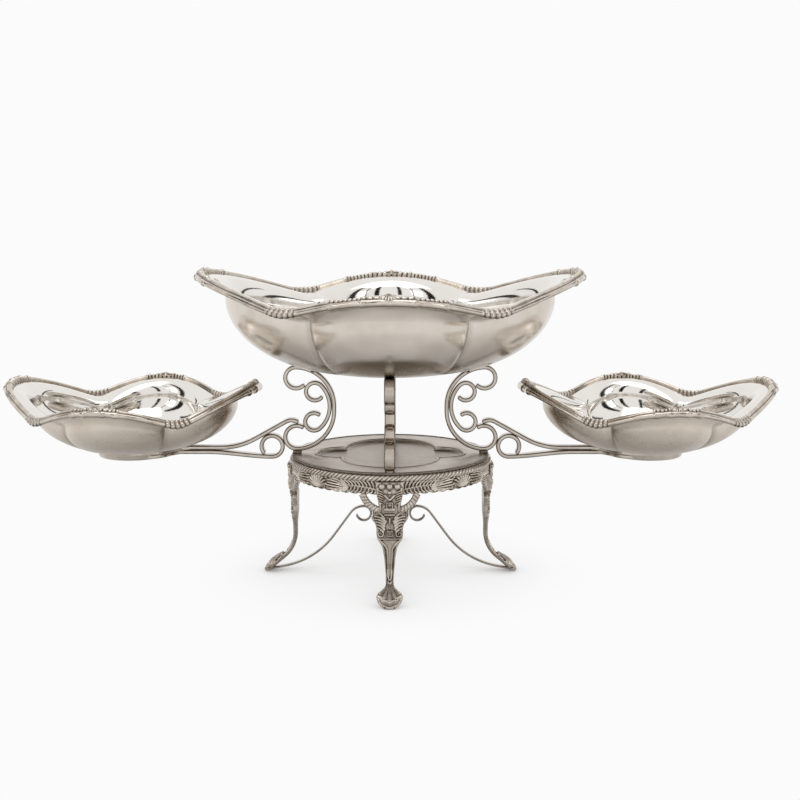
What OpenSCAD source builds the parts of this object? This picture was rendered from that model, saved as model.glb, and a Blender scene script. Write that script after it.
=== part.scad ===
// Silver-plated epergne: a centre bowl on four scroll brackets over a footed round base,
// with a side dish in a hoop at the end of each of two scroll arms.
// Millimetres, +Z up, origin on the table under the centre of the base, arms along X.

/* [Centre bowl] */
// Reach of the left and right rim peaks from the axis
bowl_end_r = 150.2; // [143:0.1:158]
// Reach of the front and back rim peaks from the axis
bowl_side_r = 144; // [138:0.1:150]
// Reach of the rim valleys from the axis
bowl_valley_r = 131.8; // [126:0.1:136]
// Direction of the rim valleys, from the X axis
bowl_valley_a = 54.6; // [48:0.1:58]
// Rim height over the bowl's base at the left and right peaks
bowl_end_h = 72; // [66:0.1:80]
// Rim height over the bowl's base at the front and back peaks
bowl_side_h = 62; // [58:0.1:68]
// Rim height over the bowl's base at the valleys
bowl_valley_h = 50.6; // [47:0.1:56]
// Radius of the bowl's flat base
bowl_base_r = 56.5; // [52:0.1:58]
// Width of the everted edge
bowl_edge_w = 17.3; // [13:0.1:20]
// Rise of the everted edge at the peaks
bowl_edge_rise = 16.9; // [13:0.1:20]
// Rise of the everted edge at the valleys
bowl_edge_dip = 7; // [5:0.1:10]
// Depth of the creases in the wall, below the valleys
bowl_crease = 11; // [6:0.1:14]
// Thickness of the bowl's sheet
bowl_t = 1.4; // [1:0.1:2]
// Width of the cast border round the bowl
bowl_border_w = 4.8; // [3.5:0.1:6]
// Thickness of the cast border round the bowl
bowl_border_t = 4.6; // [3:0.1:6]

/* [Side dishes] */
// Distance between the bracket's upper curl and the dish's rim
dish_out = 18.4; // [12:0.1:28]
// Turn of the left dish on its hoop
left_dish_a = -6; // [-10:1:10]
// Turn of the right dish on its hoop
right_dish_a = 3; // [-10:1:10]
// Reach of the left and right rim peaks from the dish's centre
dish_end_r = 100; // [94:0.1:104]
// Reach of the front and back rim peaks from the dish's centre
dish_side_r = 95.2; // [90:0.1:100]
// Reach of the rim valleys from the dish's centre
dish_valley_r = 89; // [86:0.1:93]
// Direction of the rim valleys, from the X axis
dish_valley_a = 51.5; // [47:0.1:56]
// Rim height over the dish's base at the left and right peaks
dish_end_h = 47.8; // [43:0.1:52]
// Rim height over the dish's base at the front and back peaks
dish_side_h = 40.8; // [37:0.1:45]
// Rim height over the dish's base at the valleys
dish_valley_h = 28.8; // [26:0.1:32]
// How far the dish's flat base reaches beyond the hoop that it stands on
dish_base_over = 3; // [1:0.1:7]
// Width of the everted edge
dish_edge_w = 13; // [10:0.1:16]
// Rise of the everted edge at the peaks
dish_edge_rise = 12; // [9:0.1:15]
// Rise of the everted edge at the valleys
dish_edge_dip = 5; // [3:0.1:7]
// Depth of the creases in the wall, below the valleys
dish_crease = 9; // [5:0.1:11]
// Thickness of the dish's sheet
dish_t = 1.2; // [1:0.1:1.8]
// Width of the cast border round the dish
dish_border_w = 4.4; // [3:0.1:5.5]
// Thickness of the cast border round the dish
dish_border_t = 4.2; // [3:0.1:5.4]

/* [Scroll brackets] */
// Thickness of the scroll strip
strip_t = 3.3; // [2.4:0.1:3.8]
// Width of the scroll strip
strip_w = 8; // [6:0.1:10]
// Length of the straight back of the outer C
outer_back_len = 4.1; // [2:0.1:7]
// Radius of the outer C above its back
outer_top_arc = 30.6; // [29:0.1:33]
// Radius of the outer C below its back
outer_low_arc = 30.6; // [29:0.1:31]
// Direction where the upper curl leaves the outer C
outer_top_a = 92; // [90:0.1:97]
// Direction where the lower curl leaves the outer C
outer_low_a = -92.7; // [-96:0.1:-90]
// Radius of the outer C's upper curl
outer_top_curl = 8.4; // [7.6:0.1:9.4]
// Radius of the outer C's lower curl
outer_low_curl = 9.3; // [8.5:0.1:10]
// Direction in which the outer C's upper curl ends on the inner C
outer_top_end_a = -133; // [-150:0.1:-115]
// Direction in which the outer C's lower curl ends on the inner C
outer_low_end_a = 120; // [105:0.1:135]
// Gap between the backs of the two C strips
inner_back_gap = 0.15; // [0.05:0.05:1.2]
// Height of the inner C's back over the outer C's
inner_rise = 3.7; // [2.4:0.1:5]
// Radius of the inner C
inner_arc = 24; // [23:0.1:25]
// Radius of the inner C's curls
inner_curl = 7; // [6.4:0.1:7.6]
// Direction in which the inner C's upper curl ends
inner_top_end_a = -138; // [-150:1:-120]
// Direction in which the inner C's lower curl ends
inner_low_end_a = 486; // [460:1:492]
// Radial length of the bowl lug on top of the bracket
lug_len = 4; // [3:0.1:6]
// Distance of the lug's outer end from the outer C's back
lug_out = 18.6; // [16:0.1:22]

/* [Arms] */
// Radius of the hook that lies over the bracket's lower curl
hook_r = 9; // [8:0.1:10]
// Hook centre from the lower curl's centre, outwards
hook_dx = 4.2; // [3.6:0.1:5]
// Hook centre from the lower curl's centre, upwards
hook_dz = 4.7; // [4.2:0.1:5.4]
// Radius of the ring curl at the inner end of the lower strip
ring_curl = 8.4; // [7.8:0.1:9.2]
// Direction of the ring curl from the bracket's lower curl
ring_curl_a = -20; // [-24:0.1:-17]
// Radius of the bend where the upper strip levels out
level_arc = 55; // [40:0.5:62]
// Drop from the ring curl's centre to the middle of the upper strip's level run
arm_drop = 1.1; // [0.6:0.1:2.4]
// Gap between the upper and lower strips where both run level
arm_gap = 0.2; // [0.1:0.05:0.6]
// Outer radius of the dish hoop
hoop_r = 30.4; // [27:0.1:33]
// Wall of the dish hoop
hoop_t = 1.6; // [1.2:0.1:2.4]
// Height of the dish hoop
hoop_h = 6.6; // [6.4:0.1:8]
// Height of the hoop's top over the middle of the upper strip's level run
hoop_over = 1.2; // [1:0.1:2.8]
// Distance from the hoop's centre to the fork
fork_len = 41; // [38:0.1:46]
// Thickness of the fork's tines
tine_t = 2.4; // [1.8:0.1:3]

/* [Base] */
// How far the plate's edge reaches over the band
plate_over = 0.6; // [0.2:0.1:4]
// Thickness of the base plate
plate_t = 1.6; // [1.2:0.1:2]
// Height of the plate's top
plate_z = 96.8; // [86:0.1:108]
// Depth of the well in the plate
well_depth = 4; // [3:0.1:8]
// Radius of the well's front and back lobes
well_side_lobe = 35.6; // [33:0.1:37]
// Distance of the well's front and back lobe centres from the axis
well_side_off = 20.4; // [18:0.1:22]
// Radius of the well's left and right lobes
well_end_lobe = 20.2; // [18:0.1:22]
// Distance of the well's left and right lobe centres from the axis
well_end_off = 37.4; // [35:0.1:38]
// Outer radius of the base band
band_r = 77.4; // [70:0.1:86]
// Thickness of the base band
band_t = 1.3; // [1:0.1:1.5]
// Height of the base band
band_h = 14.5; // [13:0.1:18]
// Half height of the rope border
rope_r = 2.4; // [1.8:0.1:2.8]
// How far the rope border stands proud of the band
rope_proud = 2.1; // [1.2:0.1:2.4]

/* [Legs] */
// How far the middle of the leg's upright lies inside the band's outer face
leg_in = 1.4; // [0.4:0.1:2.4]
// Thickness of the leg from inside to outside
leg_t = 5; // [4:0.1:6]
// Radius of the outward sweep of the leg
leg_sweep_r = 26; // [22:0.5:30]
// Angle that the leg sweeps through
leg_sweep_a = 50; // [45:0.5:52]
// Height where the sweep starts
leg_sweep_z = 32; // [30:0.5:36]
// Reach of the foot beyond the end of the leg's middle line
foot_over = 4; // [3:0.1:7]
// Radius of the shell foot
foot_shell_r = 9.9; // [8:0.1:11]
// Thickness of the shell foot
foot_h = 5.5; // [5.2:0.1:7]
// Length of the shell foot
foot_len = 14.4; // [13:0.1:15]
// Width of the leg's head on the band
head_w = 19.4; // [16:0.1:22]
// How far the leg's head stands proud of the band
head_proud = 3.4; // [2:0.1:4.5]
// Width of the leaf below the wings
leaf_w = 28.4; // [24:0.1:32]
// Drop from the neck to the leaf's widest point
leaf_drop = 4.2; // [3:0.1:6]
// Width of the neck between the wings
neck_w = 15.2; // [12:0.1:18]
// Drop from the band's lower edge to the neck
neck_drop = 13.1; // [10:0.1:15]
// Width of the collar at the lower end of the leaf
collar_w = 19.4; // [15:0.1:22]
// Drop from the leaf's widest point to the collar
collar_drop = 16.1; // [12:0.1:18]
// Width of the stem
stem_w = 6; // [5:0.1:8]
// Height of the upper end of the stem
stem_z = 27; // [24:0.1:30]
// Distance from the middle of the leg to the wing's upper end
wing_reach = 21; // [18:0.1:24]
// Thickness of the wing
wing_t = 4.4; // [3:0.1:5]
// Distance by which the wing bows outwards and down
wing_bow = 2; // [1:0.1:3]

/* [Stretchers] */
// Thickness of the stretcher strip
stretcher_t = 2.2; // [1.6:0.1:2.6]
// Width of the stretcher strip
stretcher_w = 5; // [4:0.1:7]
// Distance of the curl's centre from the axis
stretcher_curl_r = 21.4; // [20:0.1:24]
// Height of the curl's top, to the middle of the strip
stretcher_top_z = 53; // [50:0.1:56]
// Radius of the curl
stretcher_curl = 5.8; // [5:0.1:6.4]
// Radius of the bend above the straight run
stretcher_bend = 13; // [11:0.1:15]
// Steepness of the straight run
stretcher_a = 54; // [51:0.5:57]
// Steepness where the stretcher meets the foot
stretcher_foot_a = 10; // [6:0.5:14]
// Height where the stretcher meets the foot, to the middle of the strip
stretcher_foot_z = 3.6; // [3:0.1:4]
// Wall of the stretcher hub
hub_t = 2.6; // [2:0.1:4]
// Height of the stretcher hub
hub_h = 6; // [4:0.1:8]

/* [Fixings] */
// Radius of the bracket screws
screw_r = 1.5; // [1:0.1:1.8]
// Radius of the bracket screws' heads
screw_head_r = 2; // [1.8:0.1:3]
// Gap between the bracket screws' heads and the band
screw_head_gap = 0.1; // [0.1:0.1:1]
// Thickness of the bracket screws' heads
screw_head_h = 1.6; // [1:0.1:2.4]
// Radius of the pads under the brackets
pad_r = 3.6; // [3:0.1:4]
// Thickness of the pads under the brackets
pad_h = 1.5; // [1:0.1:3]
// Radius of the leg rivets
rivet_r = 1.2; // [0.8:0.1:1.6]
// Radius of the leg rivets' heads
rivet_head_r = 2.1; // [1.8:0.1:2.6]
// Thickness of the leg rivets' heads
rivet_head_h = 0.9; // [0.6:0.1:1.2]
// Gap between pieces that lift apart
lift_gap = 0.1; // [0.05:0.01:0.3]
// Gap between pieces that are soldered or screwed together
joint_gap = 0.05; // [0.03:0.01:0.1]

/* [Hidden] */
$fn = 96;

// Directions of the four sides, about +Z from +X
RIGHT = 0;
BACK = 90;
LEFT = 180;
FRONT = 270;
SIDES = [RIGHT, BACK, LEFT, FRONT];

SILVER = [0.80, 0.78, 0.75];
BRIGHT = [0.86, 0.85, 0.83];
CAST = [0.66, 0.63, 0.59];
DARK = [0.45, 0.43, 0.40];

// Angle covered by one straight piece of a bent strip, and the fewest pieces in a bend
ARC_STEP = 9;
ARC_MIN = 3;
// Points closer than this are one point
NEAR = 0.01;
// Long enough to cut right through any piece
FAR = 400;

// Rows in a bowl's wall and in its everted edge, and columns in each half lobe
WALL_ROWS = 6;
EDGE_ROWS = 3;
HALF_COLS = 9;
// How quickly the rim falls from a peak to a valley, in plan and in height, and the wall's crease deepens
LOBE_PLAN = 2;
LOBE_RISE = 1.15;
LOBE_CREASE = 0.6;
// Fullness of the wall: 1 is a quarter ellipse
WALL_FULL = 1.22;

// Section of a cast border beyond the sheet's edge, in shares of its width and its thickness
BORDER_SECTION = [[0.3, 0.5], [0.75, 0.5], [1, 0], [0.6, -0.5]];
// Straight pieces in the lower arm strip's run to the hoop, and the share of it that rises
RISE_STEPS = 16;
RISE_SHARE = 0.65;
// Straight pieces in a leg's wing
WING_STEPS = 16;
// Direction in which a stretcher's curl ends
STRETCHER_END_A = 340;

// Places that several pieces share
bracket_foot_r = band_r - band_t - screw_head_gap - screw_head_r;
bracket_foot_z = plate_z + pad_h + joint_gap;
outer_low_curl_c = [bracket_foot_r, bracket_foot_z + strip_t / 2 + outer_low_curl];
outer_low_c = outer_low_curl_c - (outer_low_arc - outer_low_curl) * dir(outer_low_a);
outer_back_r = outer_low_c.x - outer_low_arc;
outer_top_c = [outer_back_r + outer_top_arc, outer_low_c.y + outer_back_len];
outer_top_curl_c = outer_top_c + (outer_top_arc - outer_top_curl) * dir(outer_top_a);
inner_c = [outer_back_r + strip_t + inner_back_gap + inner_arc, outer_low_c.y + inner_rise];
// The inner C's curls lie where the ends of the outer C's curls touch them
inner_reach = inner_curl + strip_t / 2 + joint_gap;
inner_curl_off = inner_arc - inner_curl;
top_touch = outer_top_curl_c + (outer_top_curl + strip_t / 2) * dir(outer_top_end_a);
low_touch = outer_low_curl_c + (outer_low_curl + strip_t / 2) * dir(outer_low_end_a);
inner_top_a = angle_of(top_touch - inner_c) + meet_angle(inner_c, inner_curl_off, top_touch, inner_reach);
inner_low_a = 360 + angle_of(low_touch - inner_c)
  - meet_angle(inner_c, inner_curl_off, low_touch, inner_reach);
inner_top_curl_c = inner_c + inner_curl_off * dir(inner_top_a);
inner_low_curl_c = inner_c + inner_curl_off * dir(inner_low_a);
lug_r = outer_back_r + lug_out;
dish_x = outer_top_curl_c.x + outer_top_curl + strip_t / 2 + dish_out + dish_end_r;
dish_base_r = hoop_r + dish_base_over;
hook_c = outer_low_curl_c + [hook_dx, hook_dz];
ring_curl_c = outer_low_curl_c + (outer_low_curl + ring_curl + strip_t + joint_gap) * dir(ring_curl_a);
arm_z = ring_curl_c.y - arm_drop;
arm_low_z = arm_z - strip_t - arm_gap;
hoop_z = arm_z + hoop_over;
plate_r = band_r + plate_over;
plate_under_z = plate_z - plate_t;
band_low_z = plate_under_z - band_h;
rope_z = plate_under_z - joint_gap - rope_r;
head_top_z = rope_z - rope_r - joint_gap;
leg_r = band_r - leg_in;
neck_z = band_low_z - neck_drop;
leaf_z = neck_z - leaf_drop;
collar_z = leaf_z - collar_drop;
foot_r = leg_path()[len(leg_path()) - 1].x + foot_over;
foot_in_r = foot_r - foot_len;
rivet_z = (head_top_z + band_low_z) / 2;
stretcher_curl_c = [stretcher_curl_r, stretcher_top_z - stretcher_curl];
hub_r = stretcher_curl_r - stretcher_curl - stretcher_t / 2 - joint_gap;
dish_z = hoop_z + lift_gap;

function dir(a) = [cos(a), sin(a)];
function unit(v) = v / norm(v);
function angle_of(v) = atan2(v.y, v.x);
function reversed(p) = [for (i = [len(p) - 1 : -1 : 0]) p[i]];
function without_twins(p) =
  [for (i = [0 : len(p) - 1]) if (i == 0 || norm(p[i] - p[max(i - 1, 0)]) > NEAR) p[i]];

// Points on an arc about c, from direction a0 to a1
function arc(c, r, a0, a1) =
  let (n = max(ARC_MIN, ceil(abs(a1 - a0) / ARC_STEP)))
  [for (i = [0 : n]) c + r * dir(a0 + (a1 - a0) * i / n)];

// Angle between the line from c1 to c2 and the line from c1 to where circles r1 and r2 cross
function meet_angle(c1, r1, c2, r2) =
  let (d = norm(c2 - c1))
  acos((d * d + r1 * r1 - r2 * r2) / (2 * d * r1));

// Outline of a strip of thickness t along the path p
function heading(p, i) = unit(p[min(i + 1, len(p) - 1)] - p[max(i - 1, 0)]);
function beside(p, d) =
  [for (i = [0 : len(p) - 1]) let (h = heading(p, i)) p[i] + d * [-h.y, h.x]];
function strip_outline(p, t) = concat(beside(p, t / 2), reversed(beside(p, -t / 2)));

// A plate of width w about the XZ plane, with the outline given as radius and height
module upright(outline, w) {
  rotate([90, 0, 0])
    linear_extrude(w, center = true)
      polygon(outline);
}

// A prism along +X through the leg, with the outline given as width and height
module facing(outline) {
  rotate([90, 0, 90])
    linear_extrude(FAR)
      polygon(outline);
}

module tube(r_out, r_in, z0, z1) {
  translate([0, 0, z0])
    difference() {
      cylinder(r = r_out, h = z1 - z0);
      translate([0, 0, -NEAR])
        cylinder(r = r_in, h = z1 - z0 + 2 * NEAR);
    }
}

// Lobed bowls. A form is a list of the sizes that set the outline:
// reach at ends, sides and valleys, height at each, valley direction, base radius,
// edge width, edge rise at peaks and at valleys, crease depth, sheet thickness, border width and thickness.
BOWL = [
  [bowl_end_r, bowl_side_r, bowl_valley_r], [bowl_end_h, bowl_side_h, bowl_valley_h],
  bowl_valley_a, bowl_base_r, bowl_edge_w, [bowl_edge_rise, bowl_edge_dip],
  bowl_crease, bowl_t, bowl_border_w, bowl_border_t
];
DISH = [
  [dish_end_r, dish_side_r, dish_valley_r], [dish_end_h, dish_side_h, dish_valley_h],
  dish_valley_a, dish_base_r, dish_edge_w, [dish_edge_rise, dish_edge_dip],
  dish_crease, dish_t, dish_border_w, dish_border_t
];

// Directions of the columns, with one on each peak and each valley
function quarter_angles(va) = concat(
  [for (i = [0 : HALF_COLS - 1]) va * i / HALF_COLS],
  [for (i = [0 : HALF_COLS - 1]) va + (90 - va) * i / HALF_COLS]);
function column_angles(va) =
  let (q = quarter_angles(va), m = [for (i = [len(q) - 1 : -1 : 1]) 180 - q[i]])
  concat(q, [90], m, [for (a = concat(q, [90], m)) a + 180]);

// Share of a peak that is left at direction a: 1 on the peak, 0 in the valley
function quarter_of(a) = let (m = a % 180) m > 90 ? 180 - m : m;
function is_end(a, va) = quarter_of(a) < va;
function share(a, va, e) =
  let (b = quarter_of(a), f = b < va ? b / va : (90 - b) / (90 - va))
  pow(max(0, cos(90 * f)), e);
function lobed(sizes, a, va, e) =
  sizes[2] + ((is_end(a, va) ? sizes[0] : sizes[1]) - sizes[2]) * share(a, va, e);

// Underside of a bowl at direction a, as radius and height, from its base to its edge
function wall_top(form, a) =
  let (s = share(a, form[2], LOBE_CREASE))
  [lobed(form[0], a, form[2], LOBE_PLAN) - form[8] - form[4] - form[6] * (1 - s),
   lobed(form[1], a, form[2], LOBE_RISE) - form[5][1] - (form[5][0] - form[5][1]) * s];
function edge_at(form, a) =
  [lobed(form[0], a, form[2], LOBE_PLAN) - form[8], lobed(form[1], a, form[2], LOBE_RISE)];
function column(form, a) =
  let (w = wall_top(form, a), e = edge_at(form, a), b = form[3])
  concat(
    [[b, 0]],
    [for (i = [1 : WALL_ROWS]) let (u = 90 * i / WALL_ROWS)
      [b + (w.x - b) * pow(sin(u), WALL_FULL), w.y * (1 - cos(u))]],
    [for (i = [1 : EDGE_ROWS]) let (u = 90 * i / EDGE_ROWS)
      [w.x + (e.x - w.x) * (1 - cos(u)), w.y + (e.y - w.y) * sin(u)]]);

// The bowl stands on the crowns of the outer C strips, which lie below its peaks
function under_rise(r) = min([for (a = SIDES) lookup(r, column(BOWL, a))]);
function crown() =
  concat(
    arc(outer_top_curl_c, outer_top_curl + strip_t / 2, 0, outer_top_a),
    arc(outer_top_c, outer_top_arc + strip_t / 2, outer_top_a, 180));
bowl_z = max([for (p = crown()) p.y - under_rise(p.x)]) + lift_gap;

// The same points in space, by row, and the sheet's other side along the normals
function outer_rows(form) =
  let (angles = column_angles(form[2]), cols = [for (a = angles) column(form, a)])
  [for (i = [0 : WALL_ROWS + EDGE_ROWS])
    [for (j = [0 : len(angles) - 1])
      [cols[j][i].x * cos(angles[j]), cols[j][i].x * sin(angles[j]), cols[j][i].y]]];
function normal_at(rows, i, j) =
  let (n = len(rows[0]), up = rows[min(i + 1, len(rows) - 1)][j] - rows[max(i - 1, 0)][j],
       round = rows[i][(j + 1) % n] - rows[i][(j + n - 1) % n])
  i == 0 ? [0, 0, 1] : unit(cross(up, round));
function inner_rows(rows, t) =
  [for (i = [0 : len(rows) - 1]) [for (j = [0 : len(rows[0]) - 1]) rows[i][j] + t * normal_at(rows, i, j)]];

function flat(lists) = [for (l = lists) for (x = l) x];

// Two triangles between columns j and j + 1 of rows that start at points a and b
function band_faces(a, b, n) =
  flat([for (j = [0 : n - 1]) let (k = (j + 1) % n) [[a + j, b + j, b + k], [a + j, b + k, a + k]]]);

module bowl_shell(form) {
  low = outer_rows(form);
  high = inner_rows(low, form[7]);
  n = len(low[0]);
  m = len(low);
  points = concat(flat(low), flat(high), [[0, 0, 0], [0, 0, form[7]]]);
  base = 2 * m * n;
  faces = concat(
    [for (j = [0 : n - 1]) [base, j, (j + 1) % n]],
    flat([for (i = [0 : m - 2]) band_faces(i * n, (i + 1) * n, n)]),
    band_faces((m - 1) * n, (2 * m - 1) * n, n),
    flat([for (i = [m - 2 : -1 : 0]) band_faces((m + i + 1) * n, (m + i) * n, n)]),
    [for (j = [0 : n - 1]) [base + 1, m * n + (j + 1) % n, m * n + j]]);
  polyhedron(points, faces);
}

// The cast border: a bead that starts on the sheet's edge and stands out, up and down from it
module bowl_border_ring(form) {
  low = outer_rows(form);
  m = len(low);
  n = len(low[0]);
  loops = [for (j = [0 : n - 1])
    let (p = low[m - 1][j],
         up = normal_at(low, m - 1, j),
         out = unit([p.x, p.y, 0]),
         mid = p + up * form[7] / 2)
    concat([p, p + form[7] * up],
      [for (q = BORDER_SECTION) mid + form[8] * q.x * out + form[9] * q.y * up])];
  k = len(loops[0]);
  points = [for (i = [0 : k - 1]) for (j = [0 : n - 1]) loops[j][i]];
  polyhedron(points, flat([for (i = [0 : k - 1]) band_faces(((i + 1) % k) * n, i * n, n)]));
}

module centre_bowl() {
  color(BRIGHT)
    translate([0, 0, bowl_z])
      bowl_shell(BOWL);
}

module bowl_border() {
  color(CAST)
    translate([0, 0, bowl_z])
      bowl_border_ring(BOWL);
}

module dish(side, turn) {
  color(BRIGHT)
    rotate(side)
      translate([dish_x, 0, dish_z])
        rotate(turn)
          bowl_shell(DISH);
}

module dish_border(side, turn) {
  color(CAST)
    rotate(side)
      translate([dish_x, 0, dish_z])
        rotate(turn)
          bowl_border_ring(DISH);
}

// Bracket scrolls
function outer_path() =
  without_twins(concat(
    arc(outer_top_curl_c, outer_top_curl, outer_top_end_a, outer_top_a),
    arc(outer_top_c, outer_top_arc, outer_top_a, 180),
    arc(outer_low_c, outer_low_arc, 180, 360 + outer_low_a),
    arc(outer_low_curl_c, outer_low_curl, outer_low_a, outer_low_end_a)));

function inner_path() =
  without_twins(concat(
    arc(inner_top_curl_c, inner_curl, inner_top_end_a, inner_top_a),
    arc(inner_c, inner_arc, inner_top_a, inner_low_a),
    arc(inner_low_curl_c, inner_curl, inner_low_a, inner_low_end_a)));

// The lug stands on the outer C's back and ends along the underside of the bowl
module bowl_lug() {
  strip_z = function (r) outer_top_c.y + sqrt(pow(outer_top_arc, 2) - pow(outer_top_c.x - r, 2));
  seat_z = function (r) bowl_z + under_rise(r) - lift_gap;
  upright([
    [lug_r - lug_len, strip_z(lug_r - lug_len)], [lug_r, strip_z(lug_r)],
    [lug_r, seat_z(lug_r)], [lug_r - lug_len, seat_z(lug_r - lug_len)]
  ], strip_w);
}

module bracket_outer(side) {
  color(SILVER)
    rotate(side)
      difference() {
        union() {
          upright(strip_outline(outer_path(), strip_t), strip_w);
          bowl_lug();
        }
        translate([bracket_foot_r, 0, bracket_foot_z - strip_t])
          cylinder(r = screw_r + joint_gap, h = 3 * strip_t, $fn = 32);
      }
}

module bracket_inner(side) {
  color(SILVER)
    rotate(side)
      upright(strip_outline(inner_path(), strip_t), strip_w);
}

// Arms. The upper strip starts on the bracket's lower curl, passes over it as a hook,
// runs down along the ring curl and levels out towards the fork.
function upper_path() =
  let (clear = ring_curl + strip_t + joint_gap,
       apart = norm(ring_curl_c - hook_c),
       over_a = angle_of(ring_curl_c - hook_c) + acos((hook_r - clear) / apart),
       low_reach = outer_low_curl + strip_t / 2 + joint_gap,
       from_a = angle_of(outer_low_curl_c - hook_c)
         - meet_angle(hook_c, hook_r - strip_t / 2, outer_low_curl_c, low_reach),
       slope = 90 - over_a,
       leave = ring_curl_c + clear * dir(over_a),
       run = (leave.y - arm_z - level_arc * (1 - cos(slope))) / sin(slope),
       bend_from = leave + run * dir(-slope),
       bend_c = bend_from + level_arc * dir(over_a))
  without_twins(concat(
    arc(hook_c, hook_r, from_a + 360, over_a),
    [leave, bend_from],
    arc(bend_c, level_arc, over_a - 180, -90),
    [[dish_x - fork_len, arm_z]]));

// The ring curl's free end stops on the strip's own start
function lower_path() =
  let (start = ring_curl_c - [0, ring_curl],
       finish = [dish_x - hoop_r, arm_low_z],
       free_a = asin((strip_t + joint_gap) / ring_curl - 1))
  without_twins(concat(
    arc(ring_curl_c, ring_curl, free_a, 270),
    [for (i = [1 : RISE_STEPS]) let (t = i / RISE_STEPS, u = min(1, t / RISE_SHARE))
      [start.x + (finish.x - start.x) * t, start.y + (finish.y - start.y) * u * u * (3 - 2 * u)]]));

// Two tines from the end of the strip to the sides of the hoop, level with the strip's underside
module fork() {
  half = acos((hoop_r + tine_t / 2) / fork_len);
  tine_z = arm_z - strip_t / 2;
  tine_h = hoop_z - lift_gap - tine_z;
  for (s = [-1, 1])
    translate([dish_x - fork_len, 0, tine_z])
      rotate([0, 0, s * (90 - half)])
        translate([-tine_t / 2, -tine_t / 2, 0])
          cube([sqrt(fork_len * fork_len - pow(hoop_r + tine_t / 2, 2)) + tine_t / 2, tine_t, tine_h]);
}

module arm_upper(side) {
  color(SILVER)
    rotate(side)
      difference() {
        union() {
          upright(strip_outline(upper_path(), strip_t), strip_w);
          fork();
        }
        translate([dish_x, 0, 0])
          cylinder(r = hoop_r + joint_gap, h = FAR);
      }
}

module arm_lower(side) {
  color(SILVER)
    rotate(side)
      difference() {
        upright(strip_outline(lower_path(), strip_t), strip_w);
        translate([dish_x, 0, 0])
          cylinder(r = hoop_r + joint_gap, h = FAR);
      }
}

module hoop(side) {
  color(SILVER)
    rotate(side)
      translate([dish_x, 0, 0])
        tube(hoop_r, hoop_r - hoop_t, hoop_z - hoop_h, hoop_z);
}

// Base
module well_outline(grow) {
  for (s = [-1, 1]) {
    translate([0, s * well_side_off])
      circle(r = well_side_lobe + grow);
    translate([s * well_end_off, 0])
      circle(r = well_end_lobe + grow);
  }
}

module base_plate() {
  color(SILVER)
    difference() {
      union() {
        translate([0, 0, plate_under_z])
          cylinder(r = plate_r, h = plate_t);
        translate([0, 0, plate_under_z - well_depth])
          linear_extrude(well_depth + plate_t / 2)
            well_outline(plate_t);
      }
      translate([0, 0, plate_z - well_depth])
        linear_extrude(2 * well_depth)
          well_outline(0);
      for (a = SIDES)
        rotate(a)
          translate([bracket_foot_r, 0, 0])
            cylinder(r = screw_r + joint_gap, h = FAR, $fn = 32);
    }
}

module base_band() {
  color(CAST)
    difference() {
      tube(band_r, band_r - band_t, band_low_z, plate_under_z);
      leg_rivet_holes();
    }
}

module rope_border() {
  color(CAST)
    rotate_extrude()
      translate([band_r + joint_gap, rope_z])
        intersection() {
          scale([rope_proud / rope_r, 1])
            circle(r = rope_r, $fn = 48);
          translate([0, -rope_r])
            square([2 * rope_r, 2 * rope_r]);
        }
}

// Legs. The upright and sweep are cut to the leg's outline as seen from the front.
function leg_path() =
  let (c = [leg_r + leg_sweep_r, leg_sweep_z],
       low = c + leg_sweep_r * dir(180 + leg_sweep_a),
       slope = 90 - leg_sweep_a,
       run = (low.y - foot_h / 2) / sin(slope))
  without_twins(concat(
    [[leg_r, band_low_z - joint_gap]],
    arc(c, leg_sweep_r, 180, 180 + leg_sweep_a),
    [low + run * dir(-slope)]));

function leg_half() = [
  [head_w / 2, head_top_z], [head_w / 2, band_low_z - wing_t], [neck_w / 2, neck_z],
  [leaf_w / 2, leaf_z], [collar_w / 2, (leaf_z + collar_z) / 2], [collar_w / 2, collar_z],
  [stem_w / 2, stem_z], [stem_w / 2, 0]
];
function mirrored(p) = [for (q = reversed(p)) [-q.x, q.y]];

module leg_wing() {
  rise = band_low_z - joint_gap - neck_z;
  root = (neck_w - wing_t) / 2;
  bow = [for (t = [0 : 1 / WING_STEPS : 1])
    [root + (wing_reach - root) * t + wing_bow * sin(180 * t), neck_z + rise * t - wing_bow * sin(180 * t)]];
  intersection() {
    facing(strip_outline(bow, wing_t));
    tube(band_r, band_r - wing_t, neck_z - wing_t, band_low_z - joint_gap);
  }
}

module leg_foot() {
  intersection() {
    translate([foot_r - foot_shell_r, 0, 0])
      cylinder(r = foot_shell_r, h = foot_h, $fn = 48);
    translate([foot_in_r, -foot_shell_r, 0])
      cube([foot_len, 2 * foot_shell_r, foot_h]);
  }
}

module leg(side) {
  front = concat(leg_half(), mirrored(leg_half()));
  color(CAST)
    rotate(side)
      difference() {
        union() {
          intersection() {
            upright(strip_outline(leg_path(), leg_t), leaf_w);
            facing(front);
          }
          intersection() {
            facing(front);
            tube(band_r + head_proud, band_r + joint_gap, neck_z, head_top_z);
          }
          leg_wing();
          mirror([0, 1, 0])
            leg_wing();
          leg_foot();
        }
        leg_rivet_holes();
      }
}

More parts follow.
